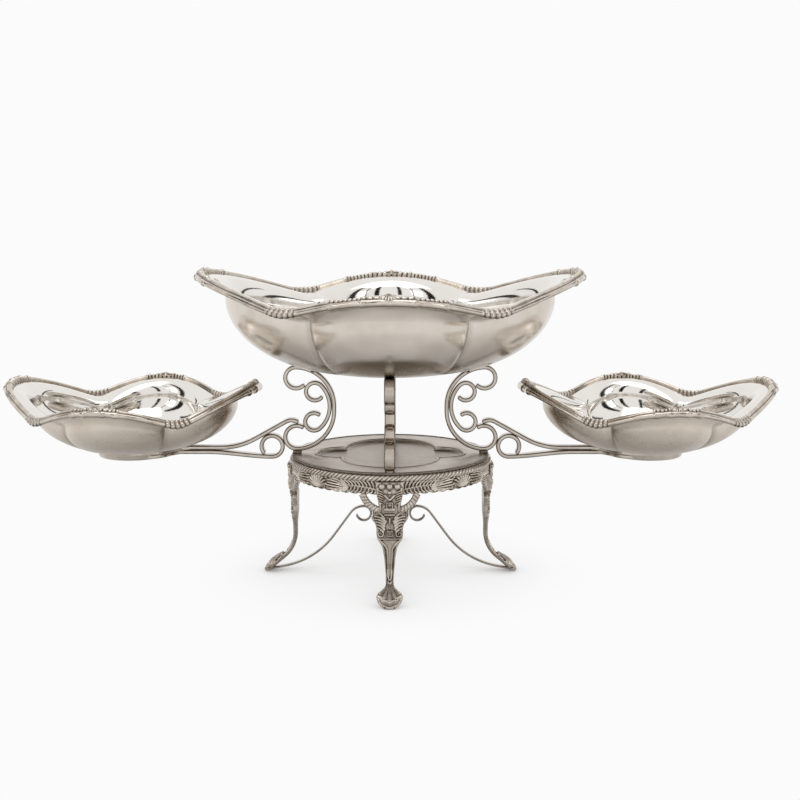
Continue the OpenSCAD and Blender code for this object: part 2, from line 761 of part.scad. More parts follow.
// Stretchers. The straight run and the lower bend are as long as it takes to reach the foot.
function stretcher_path() =
  let (bend_c = [stretcher_curl_r, stretcher_top_z - stretcher_bend],
       bend_to = bend_c + stretcher_bend * dir(90 - stretcher_a),
       goal = [foot_in_r - joint_gap, stretcher_foot_z] - bend_to,
       run_dir = dir(-stretcher_a),
       bow = [sin(stretcher_a) - sin(stretcher_foot_a), cos(stretcher_a) - cos(stretcher_foot_a)],
       det = run_dir.x * bow.y - run_dir.y * bow.x,
       run = (goal.x * bow.y - goal.y * bow.x) / det,
       low_r = (run_dir.x * goal.y - run_dir.y * goal.x) / det,
       low_from = bend_to + run * run_dir,
       low_c = low_from + low_r * dir(90 - stretcher_a))
  without_twins(concat(
    reversed(arc(stretcher_curl_c, stretcher_curl, 90, STRETCHER_END_A)),
    arc(bend_c, stretcher_bend, 90, 90 - stretcher_a),
    [low_from],
    arc(low_c, low_r, 270 - stretcher_a, 270 - stretcher_foot_a)));

module stretcher(side) {
  color(SILVER)
    rotate(side)
      intersection() {
        upright(strip_outline(stretcher_path(), stretcher_t), stretcher_w);
        translate([0, -stretcher_w, 0])
          cube([foot_in_r - joint_gap, 2 * stretcher_w, FAR]);
      }
}

module stretcher_hub() {
  color(SILVER)
    tube(hub_r, hub_r - hub_t, stretcher_curl_c.y - hub_h / 2, stretcher_curl_c.y + hub_h / 2);
}

// Fixings
module bracket_pads() {
  color(DARK)
    for (a = SIDES)
      rotate(a)
        translate([bracket_foot_r, 0, 0])
          tube(pad_r, screw_r + joint_gap, plate_z, plate_z + pad_h);
}

module bracket_screws() {
  color(DARK)
    for (a = SIDES)
      rotate(a)
        translate([bracket_foot_r, 0, plate_under_z]) {
          translate([0, 0, -screw_head_h])
            cylinder(r = screw_head_r, h = screw_head_h, $fn = 32);
          cylinder(r = screw_r, h = bracket_foot_z + strip_t / 2 - plate_under_z, $fn = 32);
        }
}

module leg_rivet_holes() {
  for (a = SIDES)
    rotate(a)
      translate([0, 0, rivet_z])
        rotate([0, 90, 0])
          cylinder(r = rivet_r + joint_gap, h = band_r + head_proud / 2 + joint_gap, $fn = 32);
}

module leg_rivets() {
  color(DARK)
    for (a = SIDES)
      rotate(a)
        translate([band_r - band_t - joint_gap, 0, rivet_z])
          rotate([0, 90, 0]) {
            translate([0, 0, -rivet_head_h])
              cylinder(r = rivet_head_r, h = rivet_head_h, $fn = 32);
            cylinder(r = rivet_r, h = band_t + head_proud / 2, $fn = 32);
          }
}

centre_bowl();
bowl_border();
dish(LEFT, left_dish_a);  // dish_left
dish(RIGHT, right_dish_a);  // dish_right
dish_border(LEFT, left_dish_a);  // dish_border_left
dish_border(RIGHT, right_dish_a);  // dish_border_right
bracket_outer(FRONT);  // bracket_outer_front
bracket_outer(BACK);  // bracket_outer_back
bracket_outer(LEFT);  // bracket_outer_left
bracket_outer(RIGHT);  // bracket_outer_right
bracket_inner(FRONT);  // bracket_inner_front
bracket_inner(BACK);  // bracket_inner_back
bracket_inner(LEFT);  // bracket_inner_left
bracket_inner(RIGHT);  // bracket_inner_right
arm_upper(LEFT);  // arm_upper_left
arm_upper(RIGHT);  // arm_upper_right
arm_lower(LEFT);  // arm_lower_left
arm_lower(RIGHT);  // arm_lower_right
hoop(LEFT);  // hoop_left
hoop(RIGHT);  // hoop_right
base_plate();
base_band();
rope_border();
leg(FRONT);  // leg_front
leg(BACK);  // leg_back
leg(LEFT);  // leg_left
leg(RIGHT);  // leg_right
stretcher(FRONT);  // stretcher_front
stretcher(BACK);  // stretcher_back
stretcher(LEFT);  // stretcher_left
stretcher(RIGHT);  // stretcher_right
stretcher_hub();
bracket_pads();
bracket_screws();
leg_rivets();
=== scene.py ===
"""Silver-plated epergne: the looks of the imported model, in its own frame.

Sizes are in millimetres with +Z up, and become metres where a mesh is made.
"""
import math
from collections import namedtuple

import bmesh
import bpy
import numpy as np
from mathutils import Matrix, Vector


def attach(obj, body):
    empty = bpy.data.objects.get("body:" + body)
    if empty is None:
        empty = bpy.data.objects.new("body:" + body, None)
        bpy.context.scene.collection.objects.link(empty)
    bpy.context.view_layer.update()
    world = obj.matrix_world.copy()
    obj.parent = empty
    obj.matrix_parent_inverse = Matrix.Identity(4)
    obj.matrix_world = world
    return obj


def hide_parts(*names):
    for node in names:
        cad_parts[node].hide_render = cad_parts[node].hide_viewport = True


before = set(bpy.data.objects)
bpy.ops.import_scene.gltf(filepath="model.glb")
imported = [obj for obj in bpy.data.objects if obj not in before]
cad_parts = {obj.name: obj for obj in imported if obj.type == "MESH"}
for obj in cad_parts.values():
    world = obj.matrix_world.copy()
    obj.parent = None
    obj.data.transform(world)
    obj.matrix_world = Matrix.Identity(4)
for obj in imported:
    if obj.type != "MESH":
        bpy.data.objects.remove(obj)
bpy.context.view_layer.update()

MM = 0.001
ARC_STEP, BOW_POINTS, VOLUTE_POINTS, SOFT_STEPS, DOUBLED = 3.0, 7, 22, 4, 0.02
SIDES = {"right": 0, "back": 90, "left": 180, "front": 270}


# Curves in a plane

def ray(degrees):
    a = np.radians(degrees)
    return np.stack([np.cos(a), np.sin(a)], -1)


def bearing(v):
    return math.degrees(math.atan2(v[1], v[0]))


def arc(centre, radius, start, end):
    n = max(3, math.ceil(abs(end - start) / ARC_STEP))
    return volute(centre, radius, radius, start, end, n + 1)


def bow(start, pull, end):
    """A curve from start to end that is drawn towards pull."""
    t = np.linspace(0, 1, BOW_POINTS)[:, None]
    return (1 - t) ** 2 * start + 2 * t * (1 - t) * pull + t ** 2 * end


def volute(centre, r_out, r_in, start, end, n=VOLUTE_POINTS):
    return centre + np.linspace(r_out, r_in, n)[:, None] * ray(np.linspace(start, end, n))


def joined(*runs):
    """Runs of points as one path, without doubled points."""
    p = np.concatenate([np.atleast_2d(r) for r in runs])
    return p[np.r_[True, steps(p) > DOUBLED]]


def steps(path):
    return np.linalg.norm(np.diff(path, axis=0), axis=1)


def length_along(path):
    return np.r_[0, np.cumsum(steps(path))]


def even(path, step):
    """The same path with points at even steps along it."""
    d = length_along(path)
    s = np.linspace(0, d[-1], max(3, int(round(d[-1] / step)) + 1))
    return np.column_stack([np.interp(s, d, path[:, k]) for k in range(path.shape[1])])


def meet_angle(c1, r1, c2, r2):
    """Angle at c1 between c2 and the place where circles r1 and r2 cross."""
    d = np.linalg.norm(c2 - c1)
    return math.degrees(math.acos((d * d + r1 * r1 - r2 * r2) / (2 * d * r1)))


def smooth(x):
    x = np.clip(x, 0, 1)
    return x * x * (3 - 2 * x)


def bell(x, width):
    return np.exp(-(x / width) ** 2)


def flutes(x, power):
    """Rounded ribs with a cut at each whole x."""
    return np.abs(np.sin(math.pi * x)) ** power


def dome(x):
    """Height of a rounded form, from 1 at x = 0 down to 0 at 1."""
    return np.sqrt(np.clip(1 - x, 0, 1))


def full_turn(n):
    """Even angles of a full turn, in radians."""
    return np.radians(np.linspace(0, 360, n, endpoint=False))


# Meshes

def unit(v):
    return v / np.linalg.norm(v, axis=-1, keepdims=True)


def turned(points, degrees):
    """Points turned about +Z."""
    c, s = ray(degrees)
    x, y, z = np.moveaxis(points, -1, 0)
    return np.stack([c * x - s * y, s * x + c * y, z], axis=-1)


def around(r, a, z):
    """Points at a radius, an angle and a height."""
    return np.stack(np.broadcast_arrays(r * np.cos(a), r * np.sin(a), z), -1)


def grid_faces(points, wrap_rows, wrap_cols):
    rows, cols = points.shape[:2]
    i, j = np.meshgrid(np.arange(rows if wrap_rows else rows - 1),
                       np.arange(cols if wrap_cols else cols - 1), indexing="ij")
    h, k = (i + 1) % rows, (j + 1) % cols
    return np.stack([i * cols + j, i * cols + k, h * cols + k, h * cols + j], -1).reshape(-1, 4).tolist()


class Shape:
    """The closed parts of one piece, with how dark each point is painted, for tarnish and for painted shade, and
    how dull it is.
    """

    def __init__(self):
        self.points, self.faces, self.recess, self.dull, self.count = [], [], [], [], 0

    def add(self, points, faces, recess=0.0, dull=0.0):
        flat = points.reshape(-1, 3)
        self.faces += [[self.count + i for i in f] for f in faces]
        self.points.append(flat)
        for marks, value in ((self.recess, recess), (self.dull, dull)):
            marks.append(np.broadcast_to(value, points.shape[:-1]).reshape(-1))
        self.count += len(flat)
        return self

    def tube(self, points, recess=0.0, dull=0.0):
        """Closed rings in rows, with a cap at each end."""
        m, n = points.shape[:2]
        caps = [list(range(n))[::-1], list(range((m - 1) * n, m * n))]
        return self.add(points, grid_faces(points, False, True) + caps, recess, dull)

    def ring(self, points, recess=0.0):
        """Closed rings in rows, where the last row meets the first."""
        return self.add(points, grid_faces(points, True, True), recess)

    def lens(self, top, bottom, recess=0.0):
        """Two sheets that share their edges."""
        for sheet in (top, bottom):
            self.add(sheet, grid_faces(sheet, False, False), recess)


def add_object(name, data):
    obj = bpy.data.objects.new(name, data)
    bpy.context.scene.collection.objects.link(obj)
    return obj


WELD, SLIVER, SHARP_A = 0.004 * MM, 0.002 * MM, 38


def make(name, shape, body, slot, *nodes, turn=0):
    """One piece of the model, which rides on a body and stands for CAD nodes."""
    mesh = bpy.data.meshes.new(name)
    points = turned(np.concatenate(shape.points), turn) * MM
    mesh.from_pydata(points.tolist(), [], shape.faces)
    for label, marks in (("recess", shape.recess), ("dull", shape.dull)):
        layer = mesh.attributes.new(label, "FLOAT", "POINT")
        layer.data.foreach_set("value", np.concatenate(marks).astype(np.float32))
    work = bmesh.new()
    work.from_mesh(mesh)
    bmesh.ops.remove_doubles(work, verts=work.verts, dist=WELD)
    bmesh.ops.dissolve_degenerate(work, edges=work.edges, dist=SLIVER)
    bmesh.ops.recalc_face_normals(work, faces=work.faces)
    work.to_mesh(mesh)
    work.free()
    mesh.polygons.foreach_set("use_smooth", [True] * len(mesh.polygons))
    mesh.set_sharp_from_angle(angle=math.radians(SHARP_A))
    mesh.materials.append(MATERIALS[slot])
    piece = add_object(name, mesh)
    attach(piece, body)
    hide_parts(*nodes)


def soft_section(thick, width, soft):
    """Outline of a flat bar with softened edges, as offsets across its thickness and its width."""
    rows = []
    for k, (sx, sy) in enumerate(((1, 1), (-1, 1), (-1, -1), (1, -1))):
        corner = (sx * (thick / 2 - soft), sy * (width / 2 - soft))
        rows.append(corner + soft * ray(90 * k + np.linspace(0, 90, SOFT_STEPS + 1)))
    return np.concatenate(rows)


END_STEPS, END_NARROW = ray((25, 50, 72, 88)), 0.25


def sweep(path, across, section, blunt=1.0):
    """Rings of a bar along a path in space, with rounded ends."""
    t = unit(np.gradient(path, axis=0))
    ends = []
    for p, d in ((path[0], -t[0]), (path[-1], t[-1])):
        n = unit(np.cross(across, d))
        ends.append([p + d * blunt * s + section[:, :1] * n * c
                     + section[:, 1:] * across * (1 - END_NARROW * (1 - c)) for c, s in END_STEPS])
    n = unit(np.cross(across, t))
    body = path[:, None] + section[None, :, :1] * n[:, None] + section[None, :, 1:] * across
    flipped = [r[mirror_order(section)] for r in ends[0][::-1]]
    return np.concatenate([np.array(flipped), body, np.array(ends[1])])


def mirror_order(section):
    """Order of a section's points with the thickness turned round."""
    goal = section * (-1, 1)
    return [int(np.argmin(np.linalg.norm(section - g, axis=1))) for g in goal]


# Materials

class Nodes:
    """Short ways to add shader nodes to one tree."""

    def __init__(self, tree):
        self.tree = tree

    def put(self, socket, v):
        """A link to a socket, or a value on it."""
        if isinstance(v, bpy.types.NodeSocket):
            self.tree.links.new(v, socket)
        else:
            socket.default_value = v

    def new(self, kind, inputs=(), **settings):
        node = self.tree.nodes.new("ShaderNode" + kind)
        for label, v in settings.items():
            setattr(node, label, v)
        for socket, v in dict(inputs).items():
            self.put(node.inputs[socket], v)
        return node

    def spread(self, value, low, high, to_low, to_high, **settings):
        ends = {"Value": value, "From Min": low, "From Max": high, "To Min": to_low, "To Max": to_high}
        return self.new("MapRange", ends, **settings).outputs["Result"]

    def both(self, kind, first, second, **settings):
        return self.new("Math", {0: first, 1: second}, operation=kind, **settings).outputs[0]


def new_material(name, values):
    """A material with values on its shader's sockets, its nodes and its shader."""
    mat = bpy.data.materials.new(name)
    mat.use_nodes = True
    shader = mat.node_tree.nodes["Principled BSDF"]
    for socket, v in values.items():
        shader.inputs[socket].default_value = v
    return mat, Nodes(mat.node_tree), shader


# Colour that marked points darken towards: tarnish in hollows, and painted shade elsewhere
WARM_DARK = (0.030, 0.022, 0.017)
TARNISH_SHADE_FROM, TARNISH_SHADE_FULL, TARNISH_SHADE_SHARE, TARNISH_SHADE_ROUGH = 0.05, 0.9, 0.96, 0.28
SCRATCH_STRENGTH, SCRATCH_DEPTH, SCRATCH_LONG = 0.06, 0.0002, 0.12
CLOUD_FROM, CLOUD_FULL, BRIGHT_CLOUD, SPECK_SHARE, PATCH_LEAST = 0.38, 0.68, 0.25, 0.35, 0.72
GLOSS_LOW, GLOSS_HIGH = 0.8, 1.3


def silver(name, tone, film, gloss, film_share, cloud_size, dull_tone=None, dull_gloss=0.0):
    """Aged silver plate: a clouded film, tarnish and painted shade from a mark on the mesh, dull outsides, fine
    scratches and uneven gloss.
    """
    mat, kit, shader = new_material(name, {"Metallic": 1.0})
    place = kit.new("TexCoord").outputs["Object"]

    def noise(scale, detail, stretch=None):
        source = place
        if stretch:
            source = kit.new("Mapping", {"Vector": place, "Scale": stretch}).outputs["Vector"]
        return kit.new("TexNoise", {"Vector": source, "Scale": scale, "Detail": detail}).outputs["Fac"]

    def mixed(first, second, share):
        first, second = ((*v, 1) if isinstance(v, tuple) else v for v in (first, second))
        return kit.new("Mix", {0: share, 6: first, 7: second}, data_type="RGBA").outputs[2]

    def mark(label):
        return kit.new("Attribute", attribute_name=label).outputs["Fac"]

    # Tarnish and painted shade from the mark on the mesh darken the colour
    tarnish_shade = kit.spread(mark("recess"), TARNISH_SHADE_FROM, TARNISH_SHADE_FULL, 0.0, TARNISH_SHADE_SHARE)
    cloud = kit.spread(noise(cloud_size, 5), CLOUD_FROM, CLOUD_FULL, 0, film_share)
    if dull_tone:
        cloud = kit.both("MULTIPLY", cloud, kit.spread(mark("dull"), 0, 1, BRIGHT_CLOUD, 1))
        tone = mixed(tone, dull_tone, mark("dull"))
    speck = kit.spread(noise(900, 3), 0.5, 0.75, 0, SPECK_SHARE)
    patchy = kit.both("MULTIPLY", tarnish_shade, kit.spread(noise(260, 4), 0.25, 0.6, PATCH_LEAST, 1))
    filmed = mixed(mixed(tone, film, cloud), film, kit.both("MULTIPLY", speck, cloud))
    kit.put(shader.inputs["Base Color"], mixed(filmed, WARM_DARK, patchy))
    uneven = kit.spread(noise(70, 6), 0.3, 0.7, gloss * GLOSS_LOW, gloss * GLOSS_HIGH)
    rough = kit.both("ADD", uneven, kit.spread(tarnish_shade, 0, 1, 0, TARNISH_SHADE_ROUGH))
    kit.put(shader.inputs["Roughness"], kit.both("ADD", rough, kit.spread(mark("dull"), 0, 1, 0, dull_gloss)))
    scratches = kit.both("ADD", noise(700, 2, (1, SCRATCH_LONG, 1)), noise(520, 2, (SCRATCH_LONG, 1, 1)))
    bump = kit.new("Bump", {"Strength": SCRATCH_STRENGTH, "Distance": SCRATCH_DEPTH, "Height": scratches})
    kit.put(shader.inputs["Normal"], bump.outputs["Normal"])
    return mat


# Name, tone, film and gloss, share and size of the film's clouds, then tone and gloss of dull outsides
MATERIALS = {name: silver(name, *look) for name, *look in (
    ("polished_silver", (0.83, 0.80, 0.76), (0.46, 0.375, 0.295), 0.09, 0.4, 40, (0.66, 0.592, 0.515), 0.17),
    ("cast_silver", (0.69, 0.625, 0.555), (0.42, 0.345, 0.275), 0.16, 0.6, 120),
    ("strip_silver", (0.58, 0.522, 0.46), (0.36, 0.298, 0.24), 0.11, 0.6, 90),
    ("fixings", (0.32, 0.27, 0.22), (0.19, 0.15, 0.12), 0.34, 0.5, 300))}


# Lobed bowls

Form = namedtuple("Form", "reach height valley base edge rise dip crease sheet border_w border_t "
                          "x z turn side_run end_run valley_run pitch shell end_swell dull")
BOWL_Z = 164.93
DISH_X, DISH_Z = 202.68, 102.3
BOWL = Form((150.2, 144, 131.8), (72, 62, 50.6), 54.6, 56.5, 17.3, 16.9, 7, 11, 1.4, 4.8, 4.6,
            0, BOWL_Z, 0, 40, 42, 12, 3.7, 8.0, 0.12, 0.68)
DISH = Form((100, 95.2, 89), (47.8, 40.8, 28.8), 51.5, 33.4, 13, 12, 5, 9, 1.2, 4.4, 4.2,
            0, DISH_Z, 0, 15, 17, 9, 3.0, 6.4, 0.42, 1.0)
# How quickly the rim falls from a peak to a valley, in plan and in height, and the wall's crease deepens
LOBE_PLAN, LOBE_RISE, LOBE_CREASE = 2.0, 1.15, 0.6
CREASE_SOFT = 0.10
WALL_FULL = 1.22
BASE_ROWS, WALL_ROWS, EDGE_ROWS = 6, 34, 14
END_COLS, SIDE_COLS, RIM_END_COLS, RIM_SIDE_COLS = 60, 46, 336, 224
WALL_TOP_ROW, BEND_ROWS = BASE_ROWS + WALL_ROWS - 1, 1.2
# Painted shade: how dark the wall's foot, the creases and the bend inside are, and the creases' width
FOOT_SHADE, CREASE_SHADE, BEND_SHADE, CREASE_WIDE = 0.26, 0.24, 0.22, 4.5


def from_end(a):
    """Angle between a direction and the bowl's long middle line."""
    return np.abs((a + 90) % 180 - 90)


def lobe_share(a, valley, power):
    """Share of a peak that is left at direction a: 1 on the peak, 0 in the valley."""
    b = from_end(a)
    f = np.where(b < valley, b / valley, (90 - b) / (90 - valley))
    c = np.clip(np.cos(np.radians(90 * f)), 0, None) ** power
    return (np.sqrt(c * c + CREASE_SOFT ** 2) - CREASE_SOFT) / (math.sqrt(1 + CREASE_SOFT ** 2) - CREASE_SOFT)


def lobed(sizes, a, valley, power):
    end, side, low = sizes
    return low + (np.where(from_end(a) < valley, end, side) - low) * lobe_share(a, valley, power)


def lobe_angles(valley, end_cols, side_cols):
    quarter = np.r_[np.linspace(0, valley, end_cols, endpoint=False),
                    np.linspace(valley, 90, side_cols, endpoint=False)]
    half = np.r_[quarter, 90, 180 - quarter[:0:-1]]
    return np.r_[half, half + 180]


def bowl_rows(form, angles):
    """Underside of a bowl from the middle of its base to its edge, as rows of points."""
    s = lobe_share(angles, form.valley, LOBE_CREASE)
    edge_r = lobed(form.reach, angles, form.valley, LOBE_PLAN) - form.border_w
    edge_z = lobed(form.height, angles, form.valley, LOBE_RISE)
    wall_r = edge_r - form.edge - form.crease * (1 - s)
    wall_z = edge_z - form.dip - (form.rise - form.dip) * s
    rows = [(form.base * k, 0.0) for k in np.linspace(0.04, 1, BASE_ROWS)]
    rows += [(form.base + (wall_r - form.base) * s ** WALL_FULL, wall_z * (1 - c))
             for c, s in ray(np.linspace(0, 90, WALL_ROWS + 1)[1:])]
    rows += [(wall_r + (edge_r - wall_r) * (1 - c), wall_z + (edge_z - wall_z) * s)
             for c, s in ray(np.linspace(0, 90, EDGE_ROWS + 1)[1:])]
    a = np.radians(angles)
    return np.array([around(r, a, z) for r, z in rows])


def sheet_normals(rows):
    """Upper normals of a bowl's sheet."""
    round_ = np.roll(rows, -1, axis=1) - np.roll(rows, 1, axis=1)
    return unit(np.cross(np.gradient(rows, axis=0), round_))


def placed(points, form):
    return turned(points, form.turn) + (form.x, 0, form.z)


def bowl_shape(form):
    """A sheet that is bright inside, dull outside, with painted shade low on its wall, along its creases and at the
    bend inside.
    """
    angles = lobe_angles(form.valley, END_COLS, SIDE_COLS)
    low = bowl_rows(form, angles)
    high = low + form.sheet * sheet_normals(low)
    height = low[..., 2] / low[..., 2].max()
    from_crease = np.radians(np.abs(from_end(angles) - form.valley)) * form.reach[2]
    from_bend = np.arange(len(low))[:, None] - WALL_TOP_ROW
    # Painted shade low on the outside wall and along its creases, and inside at the bend under the edge
    painted_shade = FOOT_SHADE * (1 - smooth(height / 0.5)) \
        + CREASE_SHADE * bell(from_crease, CREASE_WIDE) * smooth(height * 4)
    inside = 0.1 * painted_shade + BEND_SHADE * bell(from_bend, BEND_ROWS)
    points = placed(np.concatenate([low, high[::-1]]), form)
    return Shape().tube(points, np.concatenate([painted_shade, inside[::-1]]),
                        np.repeat((form.dull, 0), len(low))[:, None])


def rim_frame(form):
    """Points on the middle of a bowl's edge, with the directions out, up and along there."""
    angles = lobe_angles(form.valley, RIM_END_COLS, RIM_SIDE_COLS)
    low = bowl_rows(form, angles)
    up = sheet_normals(low)[-1]
    mid = low[-1] + up * form.sheet / 2
    along = unit(np.roll(mid, -1, axis=0) - np.roll(mid, 1, axis=0))
    out = unit(np.cross(along, up))
    return angles, mid, out, up, along


def run_from(angles, mid, places):
    """Distance along the rim from the nearest of the places, and the side that a point lies on."""
    s = length_along(np.concatenate([mid, mid[:1]]))
    total, s = s[-1], s[:-1]
    at = np.array([s[np.argmin(np.abs((angles - a + 180) % 360 - 180))] for a in places])
    d = (s - at[:, None] + total / 2) % total - total / 2
    nearest = d[np.abs(d).argmin(axis=0), np.arange(len(s))]
    return np.abs(nearest), np.sign(nearest)


def zone(distance, length):
    return 1 - smooth((distance - length) / ZONE_FADE)


# Reeds of a border's section: place out and up from its middle and radius, in shares of its width and thickness
RAIL, REED = (0.22, -0.08, 0.43), (-0.12, 0.34, 0.42)
BORDER_MID, BORDER_ROWS = 0.42, 38
BOLD_SHARE, BOLD_PITCH, FINE_PITCH = 0.42, 1.2, 0.9
FLUTED_SWELL, BOLD_SWELL, KNOP_SWELL, BUD_SWELL = 0.10, 0.12, 0.30, 0.22
FLUTE_CUT, RIB_CUT, RIB_PITCH = 0.34, 0.32, 1.25
ZONE_FADE, END_FADE, BORDER_UNDER_SHADE = 3.0, 2.6, 0.55
FAN_RIBS, FAN_SPREAD = 9, 82


def reed_reach(form, reed, phi):
    """Distance from the middle of a border's section to the outside of one of its reeds."""
    out, up, radius = reed[0] * form.border_w, reed[1] * form.border_t, reed[2] * form.border_w
    along = out * np.cos(phi) + up * np.sin(phi)
    return along + np.sqrt(along ** 2 - out ** 2 - up ** 2 + radius ** 2)


def border_shape(form):
    """The cast border: two reeds, the inner one ribbed and beaded at the peaks, and ribbed knops in the valleys."""
    angles, mid, out, up, along = rim_frame(form)
    peaks, ends = (90, 270), (0, 180)
    valleys = (form.valley, 180 - form.valley, 180 + form.valley, 360 - form.valley)
    d_side, d_end, d_valley = (run_from(angles, mid, places)[0] for places in (peaks, ends, valleys))
    d_peak, sign = run_from(angles, mid, peaks + ends)
    run = np.where(d_side < d_end, form.side_run, form.end_run)
    gadroon = np.maximum(zone(d_side, form.side_run), zone(d_end, form.end_run))
    cut = BOLD_SHARE * run
    bold = zone(d_peak, cut)
    knop = zone(d_valley, form.valley_run)
    phi = full_turn(BORDER_ROWS)[:, None]
    step = np.minimum(d_peak, cut) / BOLD_PITCH + np.maximum(d_peak - cut, 0) / FINE_PITCH
    lobes = flutes(step / form.pitch + 0.25 * sign * np.sin(phi) * bold, 0.55)
    ribs = flutes(d_valley / (RIB_PITCH * form.pitch) + 0.5, 0.5) + 0 * phi
    bud = bell(d_side - form.side_run, 2.2) + bell(d_end - form.end_run, 2.2) + 0.7 * bell(d_peak - cut, 1.6)
    swell = 1 + FLUTED_SWELL * gadroon + BOLD_SWELL * bold + BUD_SWELL * bud \
        + KNOP_SWELL * knop * (1 - 0.6 * d_valley / form.valley_run) \
        + form.end_swell * (1 - smooth(d_end / (END_FADE * form.end_run)))
    rail = reed_reach(form, RAIL, phi)
    reed = reed_reach(form, REED, phi) * (1 - FLUTE_CUT * gadroon * (1 - lobes))
    on_reed = smooth((reed_reach(form, REED, phi) - rail) / 0.5)
    rib_cut = RIB_CUT * knop * (1 - ribs)
    size = np.maximum(rail, reed) * swell * (1 - rib_cut)
    across = form.border_w * BORDER_MID + size * np.cos(phi)
    points = mid + across[..., None] * out + (size * np.sin(phi))[..., None] * up
    # Tarnish and painted shade in the grooves, flutes and rib cuts, and painted shade beneath the border and on its
    # inner underside
    groove = bell(rail - reed, 0.11 * form.border_t) * (1 - knop)
    below = smooth((-np.sin(phi) - 0.15) / 0.6)
    inside = smooth((-np.cos(phi) - 0.45) / 0.4) * smooth((0.4 - np.sin(phi)) / 0.5)
    dark = 0.9 * groove + gadroon * on_reed * smooth((0.9 - lobes) / 0.6) + 2.8 * rib_cut
    dark = np.clip(0.05 + dark + BORDER_UNDER_SHADE * np.maximum(below, inside), 0, 1)
    shape = Shape()
    shape.ring(placed(points, form), dark)
    for a in ends + peaks:
        j = int(np.argmin(np.abs(angles - a)))
        hinge = mid[j] + up[j] * form.border_t * 0.85 - out[j] * form.border_w * 0.25
        fan(shape, form, hinge, along[j], unit(out[j] - 0.55 * up[j]))
    return shape


def fan(shape, form, hinge, along, away):
    """A fluted shell that opens from its hinge and hangs over the border."""
    size = form.shell
    face = np.cross(along, away)
    face = face * np.sign(face[2])
    t = np.linspace(0, 1, 16)[:, None]
    f = np.linspace(-1, 1, FAN_RIBS * 8 + 1)
    crest = flutes(FAN_RIBS * f / 2 + 0.5, 0.7)
    reach = size * t * (0.93 + 0.07 * crest)
    a = math.radians(FAN_SPREAD) * f
    edge = dome(t ** 4) * dome(np.abs(f) ** 10)
    rise = size * edge * (0.16 + 0.12 * crest * smooth(t * 3) + 0.16 * bell(t, 0.22))
    flat = hinge + reach[..., None] * (np.cos(a)[:, None] * away + np.sin(a)[:, None] * along)
    top = flat + rise[..., None] * face
    bottom = flat - (0.25 * size * edge)[..., None] * face
    # Tarnish and painted shade in the grooves between the ribs
    groove = (1 - crest) * smooth(t * 4) * 0.9 + 0 * f
    shape.lens(placed(top, form), placed(bottom, form), groove)


# Side, place and turn of each dish
DISHES = (("left", -DISH_X, -6), ("right", DISH_X, 3))

make("centre_bowl_shell", bowl_shape(BOWL), "bowl", "polished_silver", "centre_bowl")
make("bowl_cast_border", border_shape(BOWL), "bowl", "cast_silver", "bowl_border")
for side, place, turn in DISHES:
    form = DISH._replace(x=place, turn=turn)
    body = side + "_dish"
    make(f"dish_shell_{side}", bowl_shape(form), body, "polished_silver", f"dish_{side}")
    make(f"dish_cast_border_{side}", border_shape(form), body, "cast_silver", f"dish_border_{side}")


# Scroll brackets and arms, as paths of radius and height

STRIP_T, STRIP_W, STRIP_SOFT, SMALL_SOFT = 3.3, 8.0, 1.0, 0.7
SOLDER, LIFT_GAP = 0.05, 0.1
FOOT_R, FOOT_Z = 74.0, 98.35
OUTER_BACK = 4.1
OUTER_TOP_ARC, OUTER_LOW_ARC = 30.6, 30.6
OUTER_TOP_A, OUTER_LOW_A = 92.0, -92.7
OUTER_TOP_CURL, OUTER_LOW_CURL = 8.4, 9.3
OUTER_TOP_END, OUTER_LOW_END = -133.0, 120.0
INNER_ARC, INNER_CURL, INNER_RISE, BACK_GAP = 24.0, 7.0, 3.7, 0.15
INNER_TOP_END, INNER_LOW_END = -138.0, 486.0
LUG_LEN, LUG_OUT, LUG_RISE = 4.0, 18.6, 0.2

low_curl_c = np.array([FOOT_R, FOOT_Z + STRIP_T / 2 + OUTER_LOW_CURL])
outer_low_c = low_curl_c - (OUTER_LOW_ARC - OUTER_LOW_CURL) * ray(OUTER_LOW_A)
outer_back_r = outer_low_c[0] - OUTER_LOW_ARC
outer_top_c = np.array([outer_back_r + OUTER_TOP_ARC, outer_low_c[1] + OUTER_BACK])
top_curl_c = outer_top_c + (OUTER_TOP_ARC - OUTER_TOP_CURL) * ray(OUTER_TOP_A)
inner_c = np.array([outer_back_r + STRIP_T + BACK_GAP + INNER_ARC, outer_low_c[1] + INNER_RISE])
inner_reach = INNER_CURL + STRIP_T / 2 + SOLDER
inner_off = INNER_ARC - INNER_CURL
top_touch = top_curl_c + (OUTER_TOP_CURL + STRIP_T / 2) * ray(OUTER_TOP_END)
low_touch = low_curl_c + (OUTER_LOW_CURL + STRIP_T / 2) * ray(OUTER_LOW_END)
inner_top_a = bearing(top_touch - inner_c) + meet_angle(inner_c, inner_off, top_touch, inner_reach)
inner_low_a = 360 + bearing(low_touch - inner_c) - meet_angle(inner_c, inner_off, low_touch, inner_reach)

outer_path = joined(
    arc(top_curl_c, OUTER_TOP_CURL, OUTER_TOP_END, OUTER_TOP_A),
    arc(outer_top_c, OUTER_TOP_ARC, OUTER_TOP_A, 180),
    arc(outer_low_c, OUTER_LOW_ARC, 180, 360 + OUTER_LOW_A),
    arc(low_curl_c, OUTER_LOW_CURL, OUTER_LOW_A, OUTER_LOW_END))
inner_path = joined(
    arc(inner_c + inner_off * ray(inner_top_a), INNER_CURL, INNER_TOP_END, inner_top_a),
    arc(inner_c, INNER_ARC, inner_top_a, inner_low_a),
    arc(inner_c + inner_off * ray(inner_low_a), INNER_CURL, inner_low_a, INNER_LOW_END))

